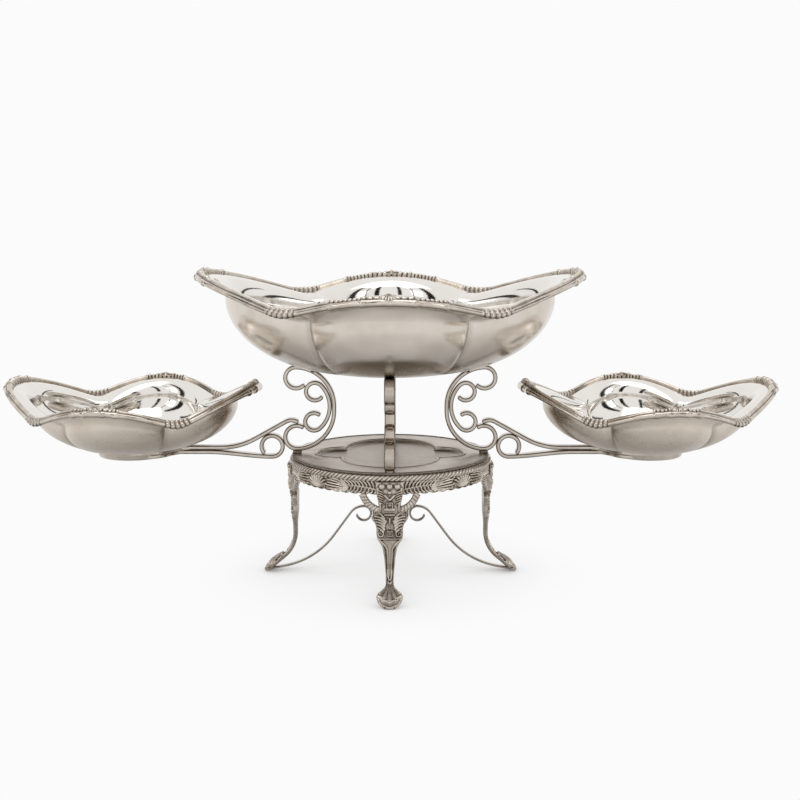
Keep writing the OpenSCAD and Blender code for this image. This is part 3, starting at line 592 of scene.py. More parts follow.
HOOK_R, HOOK_OFF = 9.0, (4.2, 4.7)
RING_CURL, RING_A = 8.4, -20.0
LEVEL_ARC, ARM_DROP, ARM_GAP, RISE_SHARE = 55.0, 1.1, 0.2, 0.65
HOOP_R, HOOP_T, HOOP_H, HOOP_OVER = 30.4, 1.6, 6.6, 1.2
HOOP_TAPER, HOOP_SOFT, HOOP_COLS = 2.2, 0.6, 120
FORK_LEN, TINE_T, TINE_STEP, TINE_POINTS = 41.0, 2.4, 1.5, 24
HOOP_END_A, HOOP_SINK, LOW_TINE_A = 84.0, 2.6, 28.0
# Start and pull of a tine, along the arm from the end of its strip and across
UPPER_TINE, LOWER_TINE = ((-5, 2.2), (4, 2.6)), ((-9, 2.4), (-2, 4.0))

hook_c = low_curl_c + HOOK_OFF
ring_c = low_curl_c + (OUTER_LOW_CURL + RING_CURL + STRIP_T + SOLDER) * ray(RING_A)
arm_z = ring_c[1] - ARM_DROP
hoop_z = arm_z + HOOP_OVER


def upper_arm_path():
    """Over the bracket's lower curl, down along the ring curl and level to the fork."""
    clear = RING_CURL + STRIP_T + SOLDER
    over = bearing(ring_c - hook_c) + math.degrees(math.acos((HOOK_R - clear) / np.linalg.norm(ring_c - hook_c)))
    start = 360 + bearing(low_curl_c - hook_c) - meet_angle(
        hook_c, HOOK_R - STRIP_T / 2, low_curl_c, OUTER_LOW_CURL + STRIP_T / 2 + SOLDER)
    slope = 90 - over
    leave = ring_c + clear * ray(over)
    run = (leave[1] - arm_z - LEVEL_ARC * (1 - ray(slope)[0])) / ray(slope)[1]
    bend = leave + run * ray(-slope)
    return joined(
        arc(hook_c, HOOK_R, start, over), leave, bend,
        arc(bend + LEVEL_ARC * ray(over), LEVEL_ARC, over - 180, -90), [DISH_X - FORK_LEN, arm_z])


def lower_arm_path():
    """The ring curl, a slow rise and a level run to the hoop."""
    free = math.degrees(math.asin((STRIP_T + SOLDER) / RING_CURL - 1))
    t = np.linspace(0, 1, 60)[1:]
    end = np.array([DISH_X - HOOP_R - SOLDER, arm_z - STRIP_T - ARM_GAP])
    start = ring_c - (0, RING_CURL)
    rise = start + (end - start) * np.column_stack([t, smooth(t / RISE_SHARE)])
    return joined(arc(ring_c, RING_CURL, free, 270), rise)


STRIP = soft_section(STRIP_T, STRIP_W, STRIP_SOFT)
ACROSS = (0, 1, 0)
EDGE_SHADE, STRIP_STEP = 0.85, 1.0


def strip_shape(path, section=STRIP):
    """A bent strip, with painted shade along its four softened edges."""
    shape = Shape()
    edge = np.sin(np.linspace(0, math.pi, len(section) // 4))
    r, z = even(path, STRIP_STEP).T
    shape.tube(sweep(np.column_stack([r, 0 * r, z]), ACROSS, section), EDGE_SHADE * np.tile(edge, 4))
    return shape


def bracket_outer_shape():
    """The outer C with the lug that the bowl stands on."""
    shape = strip_shape(outer_path)
    mid = outer_back_r + LUG_OUT - LUG_LEN / 2
    crown = outer_top_c[1] + math.sqrt(OUTER_TOP_ARC ** 2 - (outer_top_c[0] - mid) ** 2)
    seat = BOWL_Z + LUG_RISE - LIFT_GAP
    lug = np.array([(mid, 0, z) for z in (crown - 0.6, (crown + seat) / 2, seat)])
    shape.tube(sweep(lug, ACROSS, soft_section(LUG_LEN, STRIP_W, SMALL_SOFT), blunt=0.02))
    return shape


def arm_upper_shape():
    """The upper strip and the two tines that hold the hoop."""
    shape = strip_shape(upper_arm_path())
    half = math.degrees(math.acos((HOOP_R + TINE_T / 2) / FORK_LEN))
    low = arm_z - STRIP_T / 2
    tine_h = hoop_z - LIFT_GAP - low
    add_tines(shape, DISH_X - FORK_LEN, UPPER_TINE, half, 0, low + tine_h / 2, tine_h)
    return shape


def add_tines(shape, end_r, tine, meet_a, narrow, level, height):
    """Two tines from an arm to the hoop, which then run along its outside and sink into it at front and back."""
    reach = HOOP_R + TINE_T / 2
    a = np.linspace(meet_a, HOOP_END_A, TINE_POINTS)
    r = reach - (HOOP_SINK + narrow) * smooth((a - meet_a) / (HOOP_END_A - meet_a)) - 0.5 * narrow
    for s in (-1, 1):
        along = (DISH_X, 0) + r[:, None] * ray(180 - s * a)
        start, pull = ((end_r + out, s * side) for out, side in tine)
        run = even(joined(bow(start, pull, along[0]), along), TINE_STEP)
        shape.tube(sweep(np.column_stack([run, np.full(len(run), level)]), (0, 0, 1),
                         soft_section(TINE_T, height, SMALL_SOFT)))


def arm_lower_shape():
    """The lower strip and the two tines that carry it on along the foot of the hoop."""
    path = lower_arm_path()
    shape = strip_shape(path)
    end_r, level = path[-1]
    add_tines(shape, end_r, LOWER_TINE, LOW_TINE_A, HOOP_TAPER, level, STRIP_T - 0.3)
    return shape


def hoop_shape():
    """A ring that narrows a little downwards."""
    a = full_turn(HOOP_COLS)
    dr, dz = soft_section(HOOP_T, HOOP_H, HOOP_SOFT).T[..., None]
    r = HOOP_R - HOOP_T / 2 + dr - HOOP_TAPER * (0.5 - dz / HOOP_H)
    return Shape().ring(around(r, a, hoop_z - HOOP_H / 2 + dz) + (DISH_X, 0, 0))


def make_copies(slot, sides, *pieces):
    """Pieces of the stand, once for each side."""
    for side in sides:
        for name, shape, node in pieces:
            make(f"{name}_{side}", shape, "stand", slot, f"{node}_{side}", turn=SIDES[side])


make_copies("strip_silver", SIDES, ("outer_scroll", bracket_outer_shape(), "bracket_outer"),
            ("inner_scroll", strip_shape(inner_path), "bracket_inner"))
make_copies("strip_silver", ("left", "right"), ("arm_upper_strip", arm_upper_shape(), "arm_upper"),
            ("arm_lower_strip", arm_lower_shape(), "arm_lower"), ("dish_hoop", hoop_shape(), "hoop"))


# Base plate, rope and band

PLATE_R, PLATE_Z, PLATE_T = 78.0, 96.8, 1.6
PLATE_COLS, WELL_DEPTH, FLOOR_RISE, WELL_ROUND = 480, 4.0, 1.3, 3.0
# Place and radius of the well's lobes at the back and on the right, which the other two mirror
WELL_LOBES = (((0, 20.4), 35.6), ((37.4, 0), 20.2))
# How dark the well's floor, bend and wall, the lip and flange, the edge and the underside are: tarnish, with
# painted shade in the well's bend and wall, on the edge and on the underside
PLATE_DARK = (0.36, 0.42, 0.5, 0.26, 0.62, 0.5)


def well_reach(a):
    """Reach of the four-lobed well in each direction."""
    best = np.zeros_like(a)
    for (cx, cy), r in WELL_LOBES:
        along = np.abs(cx * np.cos(a) + cy * np.sin(a))
        under = r * r - cx * cx - cy * cy + along ** 2
        best = np.maximum(best, np.where(under > 0, along + np.sqrt(np.maximum(under, 0)), 0))
    return best


def oval(r, z, half_r, half_z, *angles):
    """Places on an oval, as radius and height."""
    return [(r + half_r * c, z + half_z * s) for c, s in ray(angles)]


def plate_shape():
    """A turned plate with a raised lip round its sunk well and a beaded edge."""
    a = full_turn(PLATE_COLS)
    well = well_reach(a)
    floor, under = PLATE_Z - WELL_DEPTH, PLATE_Z - PLATE_T
    flange, edge = well + 4.2, PLATE_R - 2.4
    sunk = [(k * (well - WELL_ROUND), floor + FLOOR_RISE * k * k) for k in np.linspace(0.06, 1, 8)]
    bend = oval(well - WELL_ROUND, floor + FLOOR_RISE + 0.9, 2.6, 0.9, -75, -55, -35, -18)
    wall = [(well + d, floor + h) for d, h in ((-0.2, 2.3), (0, 2.7), (0.2, 3.0))]
    lip = oval(well + 1.8, PLATE_Z - 0.9, 1.5, 1.3, 165, 140, 115, 90, 65, 40, 20)
    lip += [(flange + (edge - flange) * k, PLATE_Z - 0.5 * math.sin(math.pi * k)) for k in (0, 0.3, 0.6, 0.85)]
    round_edge = oval(PLATE_R - 1.2, PLATE_Z - 0.55, 1.2, 0.9, 165, 130, 90, 50, 15, -20, -50)
    below = [(PLATE_R - 1.5, under - 0.7), (well + 4.5, under), (well + 2.2, under - 0.6), (well + 1.6, floor + 1),
             (well + 0.6, floor - 0.6), (well - WELL_ROUND, floor - PLATE_T), (0.06 * well, floor - PLATE_T)]
    runs = (sunk, bend, wall, lip, round_edge, below)
    return Shape().tube(np.array([around(r, a, z) for run in runs for r, z in run]),
                        np.repeat(PLATE_DARK, [len(run) for run in runs])[:, None], 1.0)


ROPE_R, ROPE_Z, ROPE_HALF, ROPE_PROUD, ROPE_STRANDS = 77.0, 92.75, 2.4, 2.5, 138
STRAND_COLS, ROPE_ROWS, TWIST = 9, 19, 0.62


def rope_shape():
    """Twisted strands that lean to the right as they rise."""
    a = full_turn(ROPE_STRANDS * STRAND_COLS)
    phi = np.radians(np.linspace(-90, 90, ROPE_ROWS))[:, None]
    strand = flutes(ROPE_STRANDS * a / (2 * math.pi) - TWIST * np.sin(phi), 0.55)
    r = ROPE_R + ROPE_PROUD * np.cos(phi) ** 0.8 * (0.58 + 0.42 * strand) + 0.3
    z = ROPE_Z + ROPE_HALF * np.sin(phi) * (0.9 + 0.1 * strand)
    back = around(ROPE_R, a, ROPE_Z)[None]
    # Tarnish and painted shade between the strands, and painted shade on the hidden back
    dark = np.concatenate([(1 - strand) * 0.95, np.ones((1, len(a)))])
    return Shape().ring(np.concatenate([around(r, a, z), back]), dark)


def ridge(u, v, points, wide, narrow, high):
    """Height of a rounded ridge through the points that tapers from wide to narrow."""
    done = length_along(points) / steps(points).sum()
    best = np.zeros_like(u)
    for k in range(len(points) - 1):
        (ax, ay), (bx, by) = points[k], points[k + 1]
        dx, dy = bx - ax, by - ay
        t = np.clip(((u - ax) * dx + (v - ay) * dy) / (dx * dx + dy * dy + 1e-9), 0, 1)
        w = wide + (narrow - wide) * (done[k] + (done[k + 1] - done[k]) * t)
        d = np.hypot(u - ax - t * dx, v - ay - t * dy)
        best = np.maximum(best, high * np.sqrt(w / wide) * dome((d / w) ** 2))
    return best


def cavity(high, reach, depth):
    """How far each point of a relief lies below the mean of the points round it."""
    mean = high
    for axis in (0, 1):
        pad = [(reach, reach) if k == axis else (0, 0) for k in (0, 1)]
        wide = np.pad(mean, pad, mode="edge")
        n = mean.shape[axis]
        mean = sum(np.take(wide, range(k, k + n), axis=axis) for k in range(2 * reach + 1)) / (2 * reach + 1)
    return np.clip((mean - high) / depth, 0, 1)


def bead(u, v, cu, cv, r, high):
    return high * dome(((u - cu) ** 2 + (v - cv) ** 2) / (r * r))


BAND_R, BAND_IN, BAND_LOW, BAND_TOP = 77.0, 76.1, 80.7, 90.6
BAND_COLS, BAND_ROWS = 1440, 38
EIGHTH = 2 * math.pi * BAND_R / 8
SCALLOP, LEAF_FROM, BLADE_STEP, FEATHER_END, PALM_HALF = 7.6, 10.0, 2.7, 34.0, 12.0
# Height of the root and the pull of each long leaf, and the place of its tip
SWEEP_LEAVES = ((85.6, 90.8, -1.6, 90.4), (85.2, 88.6, 1.6, 89.0), (84.8, 86.2, 0.4, 86.8),
                (84.2, 84.0, 2.4, 84.8), (83.6, 82.4, 0.2, 82.4), (83.2, 81.2, -5.0, 81.4))
# Reach from the middle and height of the tips of the palm's blades
PALM_BLADES = ((0.0, 90.4), (2.8, 90.2), (5.4, 89.4), (7.8, 87.8), (9.4, 85.4))
FRIEZE_MID, BLADE_TOP, BLADE_FOOT, PALM_FOOT = 85.7, 90.4, 81.6, 82.2


def frieze_relief(u, v):
    """A feathered leaf beside each leg, long leaves that sweep out of it and a palm half way to the next leg."""
    high = np.zeros_like(u)

    def raise_to(points, wide, narrow, h):
        nonlocal high
        high = np.maximum(high, ridge(u, v, bow(*points), wide, narrow, h))

    sweep_to = EIGHTH - PALM_HALF
    raise_to(((LEAF_FROM - 2, FRIEZE_MID - 2.2), (20, FRIEZE_MID + 2.4), (sweep_to, FRIEZE_MID + 0.6)),
             0.7, 0.5, 1.2)
    for root in np.arange(LEAF_FROM - 1, FEATHER_END, BLADE_STEP):
        share = (root - LEAF_FROM) / (FEATHER_END - LEAF_FROM)
        mid = FRIEZE_MID - 1.4 + 3.2 * share * (1.3 - share)
        lean = 1.6 + 2.6 * share
        raise_to(((root, mid), (root - 0.8, mid + 2.6), (root + lean, BLADE_TOP)), 0.7, 0.95, 1.2)
        raise_to(((root + 1.2, mid), (root + 0.6, mid - 2.4), (root + 0.6 + lean, BLADE_FOOT)), 0.7, 0.9, 1.15)
    for root_v, pull_v, tip_u, tip_v in SWEEP_LEAVES:
        raise_to(((FEATHER_END - 2, root_v), (FEATHER_END + 5, pull_v), (sweep_to + tip_u, tip_v)), 0.65, 1.0, 1.2)
    for reach, top in PALM_BLADES:
        pull = (EIGHTH - 0.55 * reach, 0.5 * (PALM_FOOT + top) + 0.9)
        raise_to(((EIGHTH - 0.25 * reach, PALM_FOOT), pull, (EIGHTH - reach, top)), 0.7, 1.1, 1.35)
    for reach in (3.4, 7.0):
        curl = volute((EIGHTH - reach, 82.9), 1.5, 0.4, 20, 380)
        high = np.maximum(high, ridge(u, v, curl, 0.55, 0.45, 1.3))
    return np.maximum(high, bead(u, v, EIGHTH, 82.6, 1.3, 1.7))


def band_shape():
    """The frieze under the rope, with a scalloped lower edge."""
    a = np.linspace(0, 360, BAND_COLS, endpoint=False)
    u = np.radians(np.abs((a + 45) % 90 - 45)) * BAND_R
    low = BAND_LOW + 0.7 - 1.2 * flutes(u / SCALLOP, 0.7)
    v = low + (BAND_TOP - low) * np.linspace(0, 1, BAND_ROWS)[:, None]
    lip = 0.75 * bell(v - low - 0.45, 0.42)
    high = np.where(u < LEAF_FROM - 0.8, 0.0, np.maximum(frieze_relief(u + 0 * v, v), lip))
    a = np.radians(a)
    front = around(BAND_R - 0.2 + 1.25 * high, a, v)
    back = around(BAND_IN, a, np.stack([v[-1], low]))
    # Tarnish and painted shade on the low ground and in the hollows between the leaves, and painted shade on the
    # back
    dark = np.clip(0.22 * smooth((0.5 - high) / 0.45) + 0.6 * cavity(high, 3, 0.42), 0, 1)
    return Shape().ring(np.concatenate([front, back]), np.concatenate([dark, np.full((2, BAND_COLS), 0.4)]))


make("base_plate_well", plate_shape(), "stand", "polished_silver", "base_plate")
make("rope_edge", rope_shape(), "stand", "cast_silver", "rope_border")
make("acanthus_band", band_shape(), "stand", "cast_silver", "base_band")


# Legs

LEG_R, LEG_T = 76.0, 5.0
LEG_TOP, LEG_BAND = 90.3, 80.65
SWEEP_Z, SWEEP_R, SWEEP_A = 32.0, 26.0, 50.0
FOOT_H, LEG_STEP, LEG_COLS, LEG_BACK_COLS = 5.5, 0.36, 57, 15
HEAD_FRONT, HEAD_BACK, STEM_THIN = 4.6, 1.5, 0.9
# Heights where the stem, the head and its bend round the band begin, and the run over which they do
STEM_TOP, STEM_EASE, HEAD_LOW, HEAD_EASE, WRAP_LOW, WRAP_EASE = 50, 12, 62, 8, 66, 6
# Height and half width of the leg, down to its stem
LEG_OUTLINE = ((90.3, 9.5), (87, 9.9), (81, 9.6), (77, 8.8), (72, 7.9), (68, 7.3), (66.4, 9.2), (64.6, 12.6),
               (63.0, 13.9), (61.2, 12.9), (58.5, 10.9), (55.5, 9.9), (51, 10.0), (47.6, 9.5), (46, 8.8),
               (43, 6.8), (39.5, 5.3), (35.5, 4.7), (32, 4.1), (20, 3.1), (8, 2.8), (0, 3.0))
# Height and place across of the shield's arms
SHIELD_ARM = ((24, 1.2), (38.5, 1.75), (42.5, 4.2), (46.4, 8.6))
# Ridges on each half of a leg, as place across and height: start, pull, end, half width at both ends, height
LEG_RIDGES = (
    # Leaves beside the head, and the V below the beads
    ((8.4, 85.6), (11.4, 79), (7.4, 74.6), 1.15, 0.9, 1.7), ((7.4, 75.2), (5.9, 72.5), (6.9, 68.6), 0.95, 0.8, 1.5),
    ((3.2, 80.6), (1.6, 78.4), (0, 77.2), 1.0, 0.9, 1.6),
    # Leaf that spreads at the neck, and its middle rib
    ((4, 61.2), (7, 65.2), (14.2, 64.2), 1.05, 0.65, 1.6), ((4, 59.0), (7, 63.0), (12.6, 61.9), 1.05, 0.65, 1.6),
    ((4, 56.6), (7, 60.8), (10.8, 59.8), 1.05, 0.65, 1.6), ((4, 54.2), (7, 58.6), (9.9, 57.6), 1.05, 0.65, 1.6),
    ((4, 62.8), (7, 67.8), (9.0, 66.8), 1.05, 0.65, 1.6), ((2.6, 60.8), (4.6, 57.0), (4.2, 53.4), 0.9, 0.7, 1.5),
    ((0, 62.6), (0, 60), (0, 57.6), 0.9, 0.6, 1.5),
    # Leaf over the volute, and the tongue at the lower end of the stem
    ((9.4, 55.6), (7.0, 55.2), (5.2, 53.4), 0.8, 0.6, 1.4), ((1.3, 23.4), (1.6, 15.6), (0, 14.4), 0.85, 0.75, 1.5))
# Slanted ribs on the leaves beside the head
LEG_RIDGES += tuple(((8.9, top), (6.6, top - 0.3), (4.2, top - 1.9), 0.8, 0.45, 1.35)
                    for top in 84.4 - 1.75 * np.arange(6))
# How dark the flat ground, the hollows, the grooves beside the shield, the stem's middle and the back are: tarnish
# with painted shade in the ground, hollows and grooves, painted shade down the stem's middle and on the back
FLAT_DARK, HOLLOW_DARK, GROOVE_DARK, MIDDLE_SHADE, BACK_SHADE = 0.08, 0.75, 0.4, 0.22, 0.35
# Place across, height, radius and rise of the beads
LEG_BEADS = ((-5.4, 87.2, 2.3, 2.2), (0, 87.2, 2.3, 2.2), (5.4, 87.2, 2.3, 2.2), (0, 82.6, 1.5, 1.3),
             (0, 55.2, 0.9, 1.4))


def leg_path():
    """The middle of the leg, as radius and height, from its head to its foot."""
    c = np.array([LEG_R + SWEEP_R, SWEEP_Z])
    low = c + SWEEP_R * ray(180 + SWEEP_A)
    end = low + (low[1] - FOOT_H / 2) / ray(90 - SWEEP_A)[1] * ray(SWEEP_A - 90)
    return even(joined([LEG_R, LEG_TOP], [LEG_R, SWEEP_Z], arc(c, SWEEP_R, 180, 180 + SWEEP_A), end), LEG_STEP)


def leg_relief(u, z, w):
    """Carving on the front of a leg, over place across and height, where the leg's half width is w."""
    high = np.zeros_like(u)

    def raise_to(h):
        nonlocal high
        high = np.maximum(high, h)

    def block(half_u, cz, half_z, h, soft=0.5):
        raise_to(h * smooth((half_u - np.abs(u)) / soft) * smooth((half_z - np.abs(z - cz)) / soft))

    def framed(cz, half, h):
        inside = np.minimum(half - np.abs(u), half - np.abs(z - cz))
        raise_to(h * smooth(inside / 0.5) - 0.9 * h * smooth((inside - 0.9) / 0.4))

    curl = volute((7.0, 50.9), 2.8, 0.5, 100, 570)
    shield = joined(bow((8.6, 46.2), (3.2, 42.6), (1.8, 38.6)), (1.25, 24.6))
    for s in (-1, 1):
        for start, pull, end, *size in LEG_RIDGES:
            raise_to(ridge(u, z, bow(start, pull, end) * (s, 1), *size))
        raise_to(ridge(u, z, curl * (s, 1), 0.85, 0.55, 1.7))
        # Arms of the shield, which run down the stem, and the stem's edges
        raise_to(ridge(u, z, shield * (s, 1), 0.95, 0.6, 1.3))
        raise_to(smooth((45 - z) / 1.5) * bell(u - 0.87 * s * w, 0.09 * w + 0.15))
    for place in LEG_BEADS:
        raise_to(bead(u, z, *place))
    framed(73.2, 2.7, 1.7)
    block(4.3, 70.0, 1.2, 1.1)
    block(4.4, 65.6, 0.9, 1.5)
    framed(51.2, 2.5, 1.7)
    raise_to(1.5 * bell(z - 47.2, 0.6) * (np.abs(u) < 9.6))
    return high


def leg_shape():
    """A cast leg: carved body, two pierced side wings and a shell foot."""
    path = leg_path()
    t = unit(np.gradient(path, axis=0))
    out_r, out_z = -t[:, 1:], t[:, :1]
    r, z = path[:, :1], path[:, 1:]
    w = np.interp(path[:, 1], *np.array(LEG_OUTLINE)[::-1].T)
    w = np.convolve(np.pad(w, 2, mode="edge"), np.ones(5) / 5, mode="valid")[:, None]
    half = LEG_T / 2 - STEM_THIN * smooth((STEM_TOP - z) / STEM_EASE)
    front = half - 0.7 + (HEAD_FRONT - LEG_T / 2 + 0.2) * smooth((z - HEAD_LOW) / HEAD_EASE)
    back = np.where(z > LEG_BAND, HEAD_BACK, -half)
    f = np.linspace(-1, 1, LEG_COLS)
    u = f * w
    run_z = LEG_TOP - length_along(path)[:, None] + 0 * u
    crown = dome(np.abs(f) ** 3.2)
    high = leg_relief(u, run_z, w) * smooth((1 - np.abs(f)) / 0.10)
    out = back + 0.9 + (front - back - 0.9) * (0.72 + 0.28 * crown) + high
    rear_f = np.linspace(1, -1, LEG_BACK_COLS)
    across = np.concatenate([u, rear_f * (w - 0.5)], axis=1)
    depth = np.concatenate([out, back + 0.5 * np.abs(rear_f) ** 6], axis=1)
    reach = r + out_r * depth
    # The head is bent round the band
    share = smooth((z - WRAP_LOW) / WRAP_EASE)
    wrap = share * across / BAND_R
    points = np.stack([reach * np.cos(wrap), reach * np.sin(wrap) + across * (1 - share),
                       np.maximum(z + out_z * depth, 0.05)], -1)
    beside = np.abs(u) > np.interp(run_z, *np.array(SHIELD_ARM).T)
    groove = smooth((45.5 - run_z) / 1.0) * smooth((0.55 - high) / 0.5) * beside
    middle = smooth((37 - run_z) / 6) * bell(u, 0.4) + bell(run_z - 26.5, 2.2)
    dark = 0.02 + FLAT_DARK * (high < 0.15) + HOLLOW_DARK * cavity(high, 4, 0.55) + GROOVE_DARK * groove \
        + MIDDLE_SHADE * middle
    # Painted highlight: less darkening towards the leg's sides
    dark = np.clip(dark, 0, 1) * (0.35 + 0.65 * smooth((1 - np.abs(f)) / 0.12))
    shape = Shape()
    shape.tube(points, np.concatenate([dark, np.full((len(path), LEG_BACK_COLS), BACK_SHADE)], axis=1))
    for s in (-1, 1):
        leg_wing(shape, s)
    foot_shell(shape)
    return shape


WING_ROOT, WING_TIP, WING_BOW = (5.4, 67.6), (21.0, 80.4), 2.0
WING_HALF, WING_THICK, WING_RIBS, WING_ROWS, WING_COLS = 2.8, 1.9, 8, 60, 24


def leg_wing(shape, s):
    """A ribbed strut that springs from the neck to the band and leaves a hole beside the leg."""
    t = np.linspace(0, 1, WING_ROWS)
    bulge = WING_BOW * np.sin(math.pi * t)
    across, rise = np.outer(WING_ROOT, 1 - t) + np.outer(WING_TIP, t) + np.outer((1, -1), bulge)
    turn = s * across / BAND_R
    path = around(BAND_R - 1.0, turn, rise)
    d = unit(np.gradient(path, axis=0))
    out = around(1.0, turn, 0.0)
    side = unit(np.cross(d, out))
    phi = full_turn(WING_COLS)
    rib = flutes(WING_RIBS * t[:, None] + 0.35 * np.cos(phi), 0.6)
    wide = WING_HALF * (0.88 + 0.12 * rib) * np.cos(phi)
    thick = WING_THICK * (0.70 + 0.30 * rib) * np.sin(phi)
    # Tarnish and painted shade between the ribs
    shape.tube(path[:, None] + wide[..., None] * side[:, None] + thick[..., None] * out[:, None], (1 - rib) * 0.85)


SHELL_TOP, SHELL_LOW = np.array([86.6, 15.2]), np.array([101.6, 0.7])
# Half width of the shell at shares of its length
SHELL_OUTLINE = ((0, 2.6), (0.15, 4.2), (0.28, 6.6), (0.38, 8.8), (0.5, 9.8), (0.6, 9.6), (0.75, 8.4),
                 (0.87, 6.4), (0.95, 4.0), (1, 0.3))
SHELL_R, SHELL_HINGE, SHELL_EYE, SHELL_INNER, SHELL_ROUND = 9.9, 1.0, 7.0, 8.2, 10.4
SHELL_ROWS, SHELL_COLS, SHELL_RIBS, SHELL_FAN, SHELL_BELOW = 64, 81, 7, 130, 2.2


def foot_shell(shape):
    """The shell that the leg stands on: a ribbed fan, a scalloped rim, a hollow darkened with painted shade and a
    scalloped edge.
    """
    t = np.linspace(0, 1, SHELL_ROWS)[:, None]
    f = np.linspace(-1, 1, SHELL_COLS)
    fall = SHELL_LOW - SHELL_TOP
    length = np.linalg.norm(fall)
    x = np.interp(t, *np.array(SHELL_OUTLINE).T) * f
    s = length * t + 0 * f
    fan_a = np.arctan2(x, s + SHELL_HINGE) / math.radians(SHELL_FAN)
    crest = flutes(SHELL_RIBS * fan_a + 0.5, 0.8)
    inner = np.hypot(x, s - SHELL_EYE) / SHELL_INNER
    low = np.maximum(s - length / 2, 0) / SHELL_ROUND
    outer = np.where(low > 0, np.hypot(x / SHELL_R, low), np.abs(f))
    rims = np.maximum(bell(inner - 0.95 - 0.12 * crest, 0.13) * smooth((s - 5) / 3),
                      bell(outer - 0.87 - 0.05 * crest, 0.085) * smooth(s / 2))
    fan_part = smooth((1 - inner) / 0.15)
    notch = smooth((0.45 - crest) / 0.3) * smooth((outer - 0.86) / 0.05) * (low > 0)
    edge = dome(t ** 14) * dome(np.abs(f) ** 10) * dome((1 - t) ** 30)
    lift = np.sin(math.pi * t ** 0.8) * (1 - 0.5 * f * f)
    relief = 0.8 * crest * fan_part * smooth((s - 1) / 3) + 1.3 * rims - 0.5 * notch
    relief = relief * (0.2 + 0.8 * smooth((t - 0.2) / 0.5))
    push = np.array([-fall[1], 0, fall[0]]) / length
    spine = SHELL_TOP + t * fall
    base = np.stack([spine[:, :1] + 0 * f, x, spine[:, 1:] + 0 * f], -1)
    top = base + (edge * (lift + relief))[..., None] * push
    bottom = base - (edge * SHELL_BELOW)[..., None] * push
    for sheet in (top, bottom):
        sheet[..., 2] = np.maximum(sheet[..., 2], 0.0)
    # Tarnish and painted shade over the shell, deepest in the fan's grooves, the hollow and the notches, and left
    # off the raised rims as a painted highlight
    dark = 0.50 + 0.35 * (1 - crest) * fan_part + 0.20 * (1 - fan_part) - 1.2 * rims + 0.7 * notch
    shape.lens(top, bottom, np.clip(dark, 0, 1))


make_copies("cast_silver", SIDES, ("cast_leg", leg_shape(), "leg"))


# Stretchers

STRETCHER_T, STRETCHER_W = 1.5, 5.0
CURL_R, CURL_TOP, CURL, BEND = 21.4, 53.0, 5.8, 13.0
STEEP, FOOT_STEEP, FOOT_MEET, CURL_END = 54.0, 10.0, (85.96, 3.6), 340.0
UNDER_FOOT = 11.5


def stretcher_path():
    """A curl, a bend, a long arc down to the foot and a short end under its shell."""
    bend_c = np.array([CURL_R, CURL_TOP - BEND])
    bend_to = bend_c + BEND * ray(90 - STEEP)
    down = ray(-STEEP)
    low = (ray(STEEP) - ray(FOOT_STEEP))[::-1]
    run, low_r = np.linalg.solve(np.column_stack([down, low]), FOOT_MEET - bend_to)
    low_c = bend_to + run * down + low_r * ray(90 - STEEP)
    under = FOOT_MEET + UNDER_FOOT * ray(-FOOT_STEEP)
    return joined(
        arc((CURL_R, CURL_TOP - CURL), CURL, CURL_END, 90), arc(bend_c, BEND, 90, 90 - STEEP),
        arc(low_c, low_r, 270 - STEEP, 270 - FOOT_STEEP), under)


stretcher = strip_shape(stretcher_path(), soft_section(STRETCHER_T, STRETCHER_W, SMALL_SOFT))
make_copies("strip_silver", SIDES, ("stretcher_strip", stretcher, "stretcher"))

for node, slot in (("stretcher_hub", "strip_silver"), ("bracket_pads", "fixings"), ("bracket_screws", "fixings"),
                   ("leg_rivets", "fixings")):
    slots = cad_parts[node].data.materials
    slots.clear()
    slots.append(MATERIALS[slot])


# Floor, light and camera

WHITE, WORLD_LIGHT = 0.965, 0.75
CONTACT_REACH, CONTACT_LEAST = 0.06, 0.05
# Shading of the floor as seen by the eye and in the metal: two distances, and the share near the object
EYE_SHADE, METAL_SHADE = (0.07, 0.17, 0.09), (0.24, 0.66, 0.85)
MATT = {"Roughness": 1.0, "Specular IOR Level": 0.0}
FLOOR_HALF = 15.0
MIDDLE = (0, 0, 0.2)
CARD_DISTANCE, CARD_STEPS = 1.9, 9
# Bearing of each card from the front to the right, its width, and how low and high it reaches, in degrees
CARDS = ((34, 11, 12, 74), (-21, 9, 14, 70), (-84, 12, 4, 60), (82, 11, 4, 62), (-52, 3, 12, 66), (58, 3, 12, 66),
         (-120, 6, 2, 40), (122, 6, 2, 40))


def floor_material():
    """A white floor that shades near the object and where feet come close, and is plain white further out."""
    mat, kit, shader = new_material("floor_white", {"Base Color": (0.9, 0.9, 0.9, 1), **MATT})
    place = kit.new("TexCoord").outputs["Object"]
    reach = kit.new("VectorMath", {0: place}, operation="LENGTH").outputs["Value"]
    eye, metal = (kit.spread(reach, near, far, 1 - shade, 1.0, interpolation_type="SMOOTHSTEP")
                  for near, far, shade in (EYE_SHADE, METAL_SHADE))
    close = kit.new("AmbientOcclusion", {"Distance": CONTACT_REACH}).outputs["AO"]
    eye = kit.both("MULTIPLY", eye, kit.spread(close, 0, 1, CONTACT_LEAST, 1))
    path = kit.new("LightPath").outputs
    seen = kit.both("ADD", kit.both("MULTIPLY", eye, path["Is Camera Ray"]),
                    kit.both("MULTIPLY", metal, path["Is Glossy Ray"]), use_clamp=True)
    plain = kit.new("Emission", {"Color": (WHITE, WHITE, WHITE, 1)}).outputs["Emission"]
    mix = kit.new("MixShader", {"Fac": seen, 1: shader.outputs["BSDF"], 2: plain})
    kit.put(mat.node_tree.nodes["Material Output"].inputs["Surface"], mix.outputs["Shader"])
    return mat


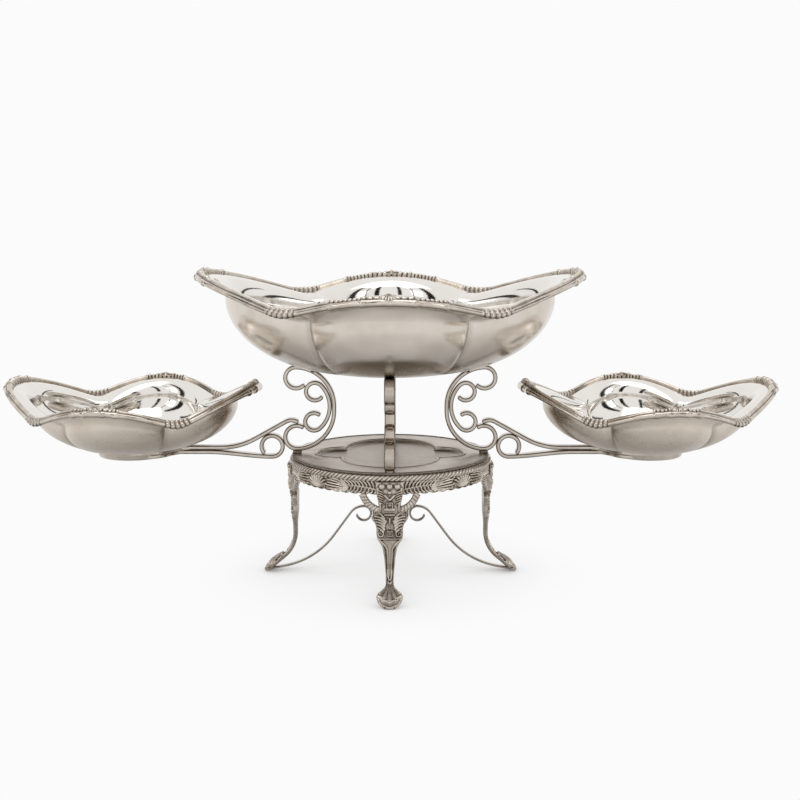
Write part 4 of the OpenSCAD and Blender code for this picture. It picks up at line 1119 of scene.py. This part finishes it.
def stage_piece(name, points, faces, mat, in_view=True):
    mesh = bpy.data.meshes.new(name)
    mesh.from_pydata(points, [], faces)
    mesh.materials.append(mat)
    obj = add_object(name, mesh)
    obj.visible_camera = in_view


corners = [(x * FLOOR_HALF, y * FLOOR_HALF, 0) for x, y in ((-1, -1), (1, -1), (1, 1), (-1, 1))]
stage_piece("floor", corners, [(0, 1, 2, 3)], floor_material())

# Tall dark cards round the object, which only show in its metal
dark_card, _, _ = new_material("card_black", {"Base Color": (0.02, 0.018, 0.016, 1), **MATT})
for k, (card_a, width_a, low_a, high_a) in enumerate(CARDS):
    points = []
    for up in np.linspace(low_a, high_a, CARD_STEPS):
        reach, rise = CARD_DISTANCE * ray(up)
        points += [(*(reach * ray(card_a - 90 + side * width_a / 2)), MIDDLE[2] + rise) for side in (-1, 1)]
    faces = [(n, n + 1, n + 3, n + 2) for n in range(0, 2 * CARD_STEPS - 2, 2)]
    stage_piece(f"dark_card_{k}", points, faces, dark_card, in_view=False)

world = bpy.data.worlds.new("studio")
world.use_nodes = True
sky = world.node_tree.nodes["Background"].inputs
sky["Color"].default_value = (1, 1, 1, 1)
kit = Nodes(world.node_tree)
path = kit.new("LightPath").outputs
seen = kit.both("MAXIMUM", path["Is Camera Ray"], path["Is Glossy Ray"])
kit.put(sky["Strength"], kit.spread(seen, 0, 1, WORLD_LIGHT, WHITE))
bpy.context.scene.world = world


def softbox(name, place, size, watts):
    lamp = bpy.data.lights.new(name, "AREA")
    lamp.shape = "RECTANGLE"
    lamp.size, lamp.size_y = size
    lamp.energy = watts
    obj = add_object(name, lamp)
    obj.location = place
    obj.rotation_euler = (Vector(MIDDLE) - Vector(place)).to_track_quat("-Z", "Y").to_euler()


softbox("softbox_top", (0, -0.1, 1.5), (1.3, 0.9), 4)
softbox("softbox_left", (-1.5, -0.9, 1.2), (0.7, 1.0), 2.4)
softbox("softbox_right", (1.5, -0.7, 1.1), (0.5, 1.0), 1.8)

CAMERA_PLACE, CAMERA_PITCH = (0.0076, -0.9848, 0.2978), 9.17
FOCAL_PIXELS, IMAGE_PIXELS, SENSOR_MM, CLIP_START = 1262, 800, 36, 0.01

lens = bpy.data.cameras.new("camera")
lens.sensor_width = SENSOR_MM
lens.lens = FOCAL_PIXELS / IMAGE_PIXELS * SENSOR_MM
lens.clip_start = CLIP_START
camera = add_object("camera", lens)
camera.location = CAMERA_PLACE
camera.rotation_euler = (math.radians(90 - CAMERA_PITCH), 0, 0)
bpy.context.scene.camera = camera
bpy.context.scene.view_settings.view_transform = "Standard"
